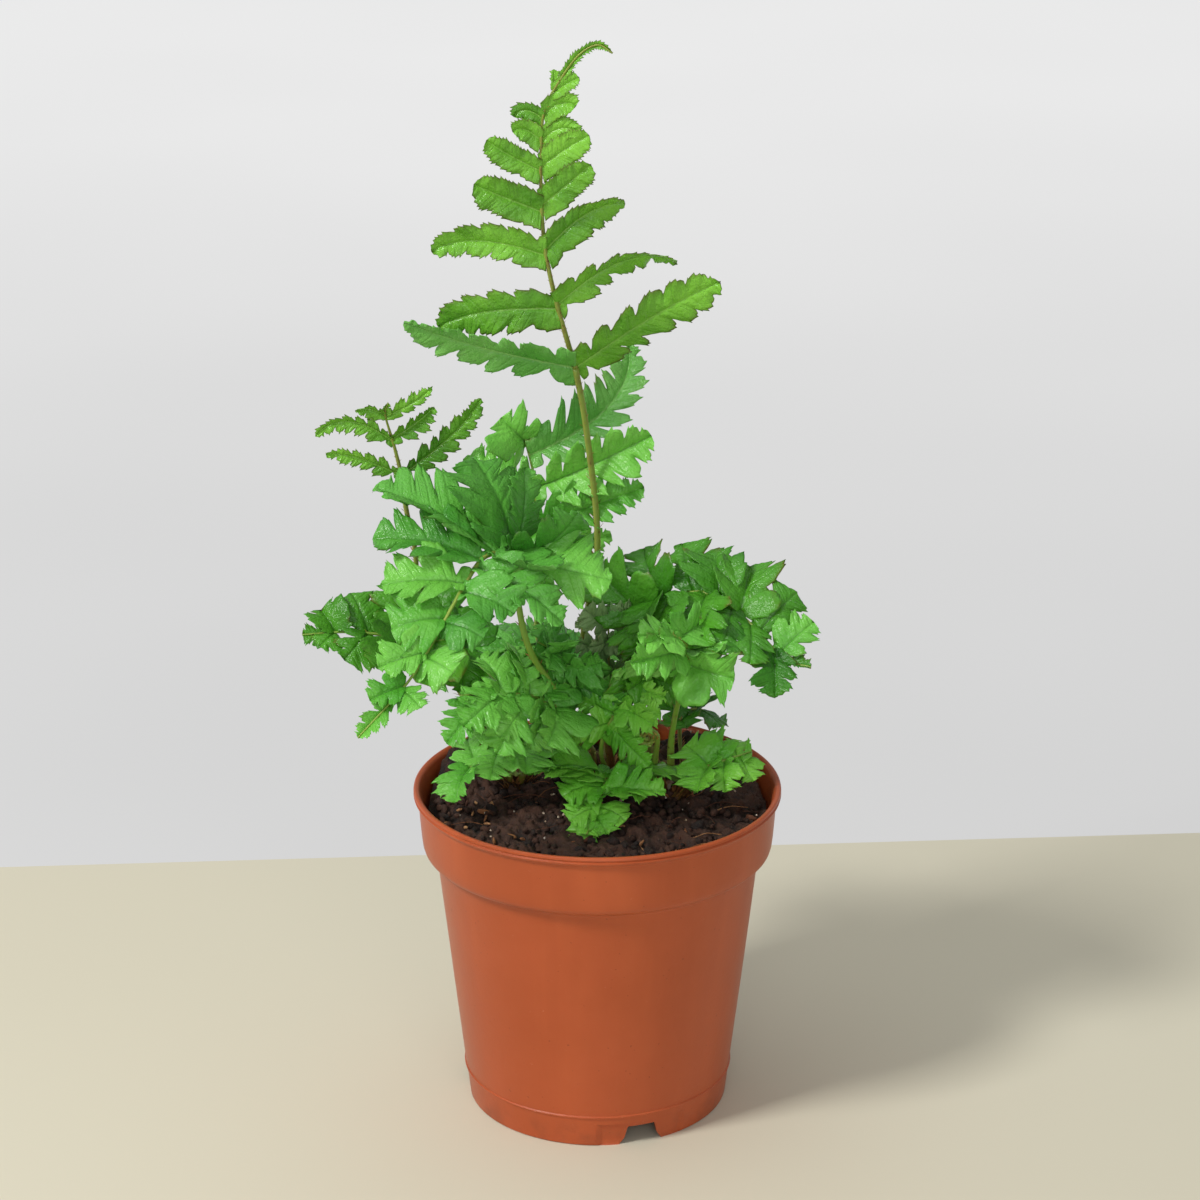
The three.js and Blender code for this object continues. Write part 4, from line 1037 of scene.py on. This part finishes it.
def add_leaf(pile, points, up, width, habit, rng, rachis_ahead, roll=(0, 0), slot=0):
    """One pinna: a closed thin leaf with lobes, teeth, veins and folds."""
    line = Line(points, 10)
    length = line.length
    rows = max(10, int(length / ROW))
    share = np.linspace(0, 1, rows + 1)
    pitch = habit.pitch * min(1.3, max(0.7, width / 10)) * rng.uniform(0.9, 1.12)
    depth = habit.depth * (min(1, max(0.08, (length - 17) / 26)) if habit is TOOTHED else 1)
    left, phase_l = half_width(share, length, width, habit, rng, pitch, depth)
    right, phase_r = half_width(share, length, width, habit, rng, pitch, depth)
    across = COLUMNS[None, :]
    is_right = across > 0
    half = np.where(is_right, right[:, None], left[:, None])
    phase = np.where(is_right, phase_r[:, None], phase_l[:, None])
    y = across * half
    reach = np.abs(y)
    along0 = line.direction(0.0)
    over0 = unit(up - along0 * (up @ along0))
    side0 = np.cross(along0, over0)
    cosine = float(along0 @ rachis_ahead)
    lateral = float(side0 @ rachis_ahead)
    shear = float(np.clip(cosine / (abs(lateral) + 0.25), -0.5, 0.75)) * (1 if lateral >= 0 else -1)
    leave = smooth(share * length / (0.55 * width + 1.5))[:, None]
    forward = 0.68 * reach * leave * (1 - share ** 4)[:, None] + y * shear * (1 - leave) * 0.8
    place_along = share[:, None] + forward / length
    keel = habit.keel + rng.uniform(-habit.fold, habit.fold)
    seed = rng.uniform(0, 50)
    mm_along = share[:, None] * length
    quilt = 0.85 * np.sin(np.pi * phase) ** 0.7 * np.abs(across) ** 0.8 * min(1, width / 9)
    groove = -0.3 * np.exp(-(y / 0.4) ** 2)
    ruffle = habit.ruffle * 0.8 * wander(mm_along * 0.45, y * 0.35, seed) * across ** 2 * width / 10
    ripple = 0.26 * wander(mm_along * 1.5, y * 1.7, seed + 3) * (0.4 + np.abs(across))
    droop = -rng.uniform(0, 0.9) * np.abs(across) ** 3 * width / 12
    height = keel * reach + quilt + groove + ruffle + ripple + droop
    centre = line.at(place_along)
    ahead = line.direction(place_along)
    over = unit(up - ahead * (ahead @ up)[..., None])
    side = np.cross(ahead, over)
    wander_roll = rng.uniform(-14, 14)
    turn = np.radians(roll[0] + (roll[1] - roll[0]) * share + wander_roll * share)[:, None, None]
    over, side = over * np.cos(turn) - side * np.sin(turn), side * np.cos(turn) + over * np.sin(turn)
    top = centre + side * y[..., None] + over * height[..., None]
    thin = LEAF_THICKNESS * (1 - 0.55 * np.abs(across) ** 4)
    low = top - over * thin[..., None]
    rows, columns = top.shape[:2]
    tone = rng.random()
    vein = np.exp(-(y / 0.32) ** 2) * (1 - 0.4 * share[:, None])
    side_vein = np.exp(-((phase - 0.5) * pitch / 0.3) ** 2) * 0.5 * (1 - across ** 2)
    fine = (phase * 3) % 1 - 0.5
    veinlet = 0.42 * np.exp(-(fine * pitch / 3 / 0.2) ** 2) * (np.abs(across) > 0.25)
    side_vein = np.maximum(side_vein, veinlet)
    edge = np.where(np.abs(across) > 0.95, 1.0, np.where(np.abs(across) > 0.85, 0.25, 0.0))
    edge = np.maximum(edge, smooth((share[:, None] - 0.985) / 0.015))
    shade = np.clip(tone * 0.7 + 0.3 * share[:, None] + 0 * y, 0, 1)
    values = np.stack([np.maximum(vein, side_vein), edge + 0 * y, shade, 0 * y], -1)
    below = values.copy()
    below[..., 3] = 1
    index = np.arange(rows * columns).reshape(rows, columns)
    under = index + rows * columns
    faces = [np.stack([index[:-1, :-1], index[:-1, 1:], index[1:, 1:], index[1:, :-1]], -1)]
    faces.append(np.stack([under[:-1, :-1], under[1:, :-1], under[1:, 1:], under[:-1, 1:]], -1))
    rim = np.concatenate([index[:, 0], index[-1, 1:], index[-2::-1, -1], index[0, -2:0:-1]])
    rim_next = np.roll(rim, -1)
    strip = np.stack([rim, rim_next, rim_next + rows * columns, rim + rows * columns], -1)
    quads = np.concatenate([f.reshape(-1, 4) for f in faces] + [strip])
    both = np.concatenate([top.reshape(-1, 3), low.reshape(-1, 3)])
    pile.add(place(both), quads, np.concatenate([values.reshape(-1, 4), below.reshape(-1, 4)]), slot)


def crowding(row, rng):
    """A smaller pinna beside another, a little lower and turned aside."""
    at, tip, width, bow = row
    aside = [tip[0] + rng.uniform(-6, 6), tip[1] + rng.uniform(-5, 3), tip[2] + rng.uniform(-8, 1)]
    return [min(0.8, at + 0.14), aside, width * 0.8, bow]


def build_frond(number, frond):
    name = frond["name"]
    habit, leaves, stalk_look = LOOKS[name]
    rng = random.Random(100 + number)
    stalk, rachis = Line(frond["stalk"]), Line(frond["rachis"])
    girth = frond["radius"]
    brown = 0.4 if stalk_look is STALK else 0.15

    stipe = Pile()

    def stalk_radius(t):
        return girth * (1.1 - 0.34 * smooth(t * 2.0))

    def stalk_values(t, a):
        return (max(1 - 3.2 * t, 0) + brown * 0.5, abs(math.cos(a)) ** 3, rng.random(), 0)

    tube(stipe, stalk, stalk_radius, 14, 1.2, stalk_values, ridge=0.08)
    scaly(stipe, stalk, girth, 1.0 if brown > 0.3 else 2.4, 2.0, 1, rng)
    finish_piece(stipe.build(name + "_stalk", [stalk_look, SCALES]), "stalk", name + "_stipe")

    blade = Pile()

    def rachis_radius(t):
        return girth * (0.72 - 0.5 * t)

    def rachis_values(t, a):
        return (brown * (1.1 - 0.8 * t), abs(math.cos(a)) ** 3, rng.random(), 0)

    tube(blade, rachis, rachis_radius, 8, 0.8, rachis_values, slot=2)
    scaly(blade, rachis, 0.5 * girth, 1.2 if brown > 0.3 else 3.0, 1.1, 3, rng, 0.85)
    rows = paired_pinnae(*frond["pairs"]) if "pairs" in frond else list(frond["pinnae"])
    if name in CROWDED:
        rows += [crowding(row, rng) for row in frond["pinnae"]]
    for k, row in enumerate(rows):
        points, up, width = pinna_midrib(rachis, frond["face"], row)
        slot = 1 if k in EXCEPTIONS.get(name, ()) else 0
        ahead = rachis.direction(row[0])
        add_leaf(blade, points, up, width, habit, rng, ahead, ROLLS.get((name, k), (0, 0)), slot)
    share = TERMINAL + (1 - TERMINAL) * np.linspace(0, 1, 6)
    _, ahead, up, _ = blade_frame(rachis, TERMINAL, frond["face"])
    slot = 1 if len(rows) in EXCEPTIONS.get(name, ()) else 0
    add_leaf(blade, rachis.at(share), up, TIP_WIDTH.get(name, 4.5), habit, rng, ahead, slot=slot)
    looks = [GREENS[leaves[0]], GREENS[leaves[1]], stalk_look, SCALES]
    slot_name = "leaf_dark" if name in DARK_FRONDS else "leaf_light"
    finish_piece(blade.build(name + "_leaf", looks), slot_name, name + "_blade")


DARK_FRONDS = ("arching", "right", "left", "inner_dark", "tall", "slender")

for number, frond in enumerate(FRONDS):
    build_frond(number, frond)


# ------------------------------------------------------------------ crowns and croziers

CROWNS = [
    ("crown_main", (2, 15), 8.5, 3.5),
    ("crown_right", (21.5, 9), 6.5, 3),
    ("crown_left", (-24, 14), 6, 3),
]


def build_crown(number, name, at, radius, rise):
    """A knob of rootstock wrapped in overlapping scales and old stalk stubs."""
    rng = random.Random(300 + number)
    pile = Pile()
    points, faces = ball(4)
    top = float(soil_level(*at)) + rise
    lumps = np.array([noise.noise(Vector(p) * 2.4 + Vector((number, 0, 0))) for p in points])
    shaped = points * (1 + 0.18 * lumps)[:, None] * [radius * 0.9, radius * 0.9, 5.5]
    pile.add(place(shaped + [at[0], at[1], top - 5.5]), faces, [0.9, 0, 0.5, 0])
    for _ in range(170):
        a = rng.uniform(0, 2 * math.pi)
        b = rng.uniform(0.05, 1.25)
        out = np.array([math.cos(a) * math.cos(b), math.sin(a) * math.cos(b), math.sin(b)])
        base = np.array([at[0], at[1], top - 5.5]) + out * [radius * 0.88, radius * 0.88, 5.2]
        rising = unit(np.array([0.25 * math.cos(a), 0.25 * math.sin(a), 1.0]) + 0.5 * out)
        flake(pile, base, rising, out, rng.uniform(2.5, 5), rng.uniform(0.8, 1.5), rng.random(), 1)
    for _ in range(5):
        a, r = rng.uniform(0, 2 * math.pi), rng.uniform(0.3, 0.8) * radius
        foot = np.array([at[0] + r * math.cos(a), at[1] + r * math.sin(a), top - 3])
        lean = np.array([0.4 * math.cos(a), 0.4 * math.sin(a), 1]) * rng.uniform(4, 7)
        girth = rng.uniform(0.8, 1.3)
        stub = Line([foot, foot + lean * 0.5, foot + lean], 6)
        tube(pile, stub, lambda t: girth, 10, 0.8, lambda t, a: (1 - 0.6 * t, 0, 0.5, 0))
    finish_piece(pile.build(name + "_scaly", [STALK, SCALES]), "rootstock", name)


CROZIERS = [
    ("crozier_left", (-9, 16, 94), (-14, 5, 112), 2.8, 1),
    ("crozier_right", (16, 8, 94), (17, 2, 109), 2.8, -1),
]


def build_crozier(number, name, base, top, coil, turn):
    """A young frond still rolled up, felted with scales."""
    rng = random.Random(400 + number)
    base, top = np.array(base, float), np.array(top, float)
    centre = top + [turn * coil, 0, 0]
    points = [base, (base + top) / 2, top]
    for k in range(1, 19):
        angle = 3.6 * math.pi * k / 18
        radius = coil * (1 - 0.78 * k / 18)
        points.append(centre + [-turn * radius * math.cos(angle), 0.05 * k, radius * math.sin(angle)])
    line = Line(points, 12)
    pile = Pile()

    def felt(t, a):
        return (0.5 - 0.4 * t, abs(math.cos(a)), 0.5, 0)

    tube(pile, line, lambda t: 1.0 - 0.45 * t, 12, 0.5, felt)
    scaly(pile, line, 0.85, 0.35, 1.2, 1, rng)
    for k in range(26):
        share = 0.45 + 0.5 * k / 26
        point, along = line.at(share), line.direction(share)
        side = np.array([0, 1 if k % 2 else -1, 0.0])
        bud = [point, point + side * 0.9 + along * 0.5, point + side * 1.2 + along * 1.4]
        tube(pile, Line(bud, 4), lambda t: 0.45 - 0.2 * t, 6, 0.4, lambda t, a: (0, 1, 0.5, 0), slot=2)
    finish_piece(pile.build(name + "_coil", [STALK_GREEN, SCALES, GREENS["yellow"]]), "crozier", name)


for number, crown in enumerate(CROWNS):
    build_crown(number, *crown)
for number, crozier in enumerate(CROZIERS):
    build_crozier(number, *crozier)


# ------------------------------------------------------------------ the stage


def build_stage():
    """One big floor: a beige table top in front and a grey sweep behind it that glows pale, brighter
    farther back, as painted light for a lit wall.
    """
    far_left, far_right = (-3.0, -0.042), (3.0, 0.378)
    table = [(-3, -3), (3, -3), far_right, far_left]
    wall = [far_left, far_right, (3, 6), (-3, 6)]
    points = [(x, y, 0) for x, y in table + wall]
    mesh = bpy.data.meshes.new("studio_floor")
    mesh.from_pydata([tuple(AXIS + Vector(p)) for p in points], [], [(0, 1, 2, 3), (4, 5, 6, 7)])
    mesh.materials.append(stage_material("table_top", rgb(212, 207, 186), rgb(207, 201, 179)))
    # The far part glows by itself: painted light for a pale, lit wall.
    mesh.materials.append(stage_material("self_lit_backdrop", rgb(97, 97, 97), rgb(113, 113, 113), 4.35))
    mesh.polygons.foreach_set("material_index", [0, 1])
    floor = link("studio_floor", mesh)


build_stage()
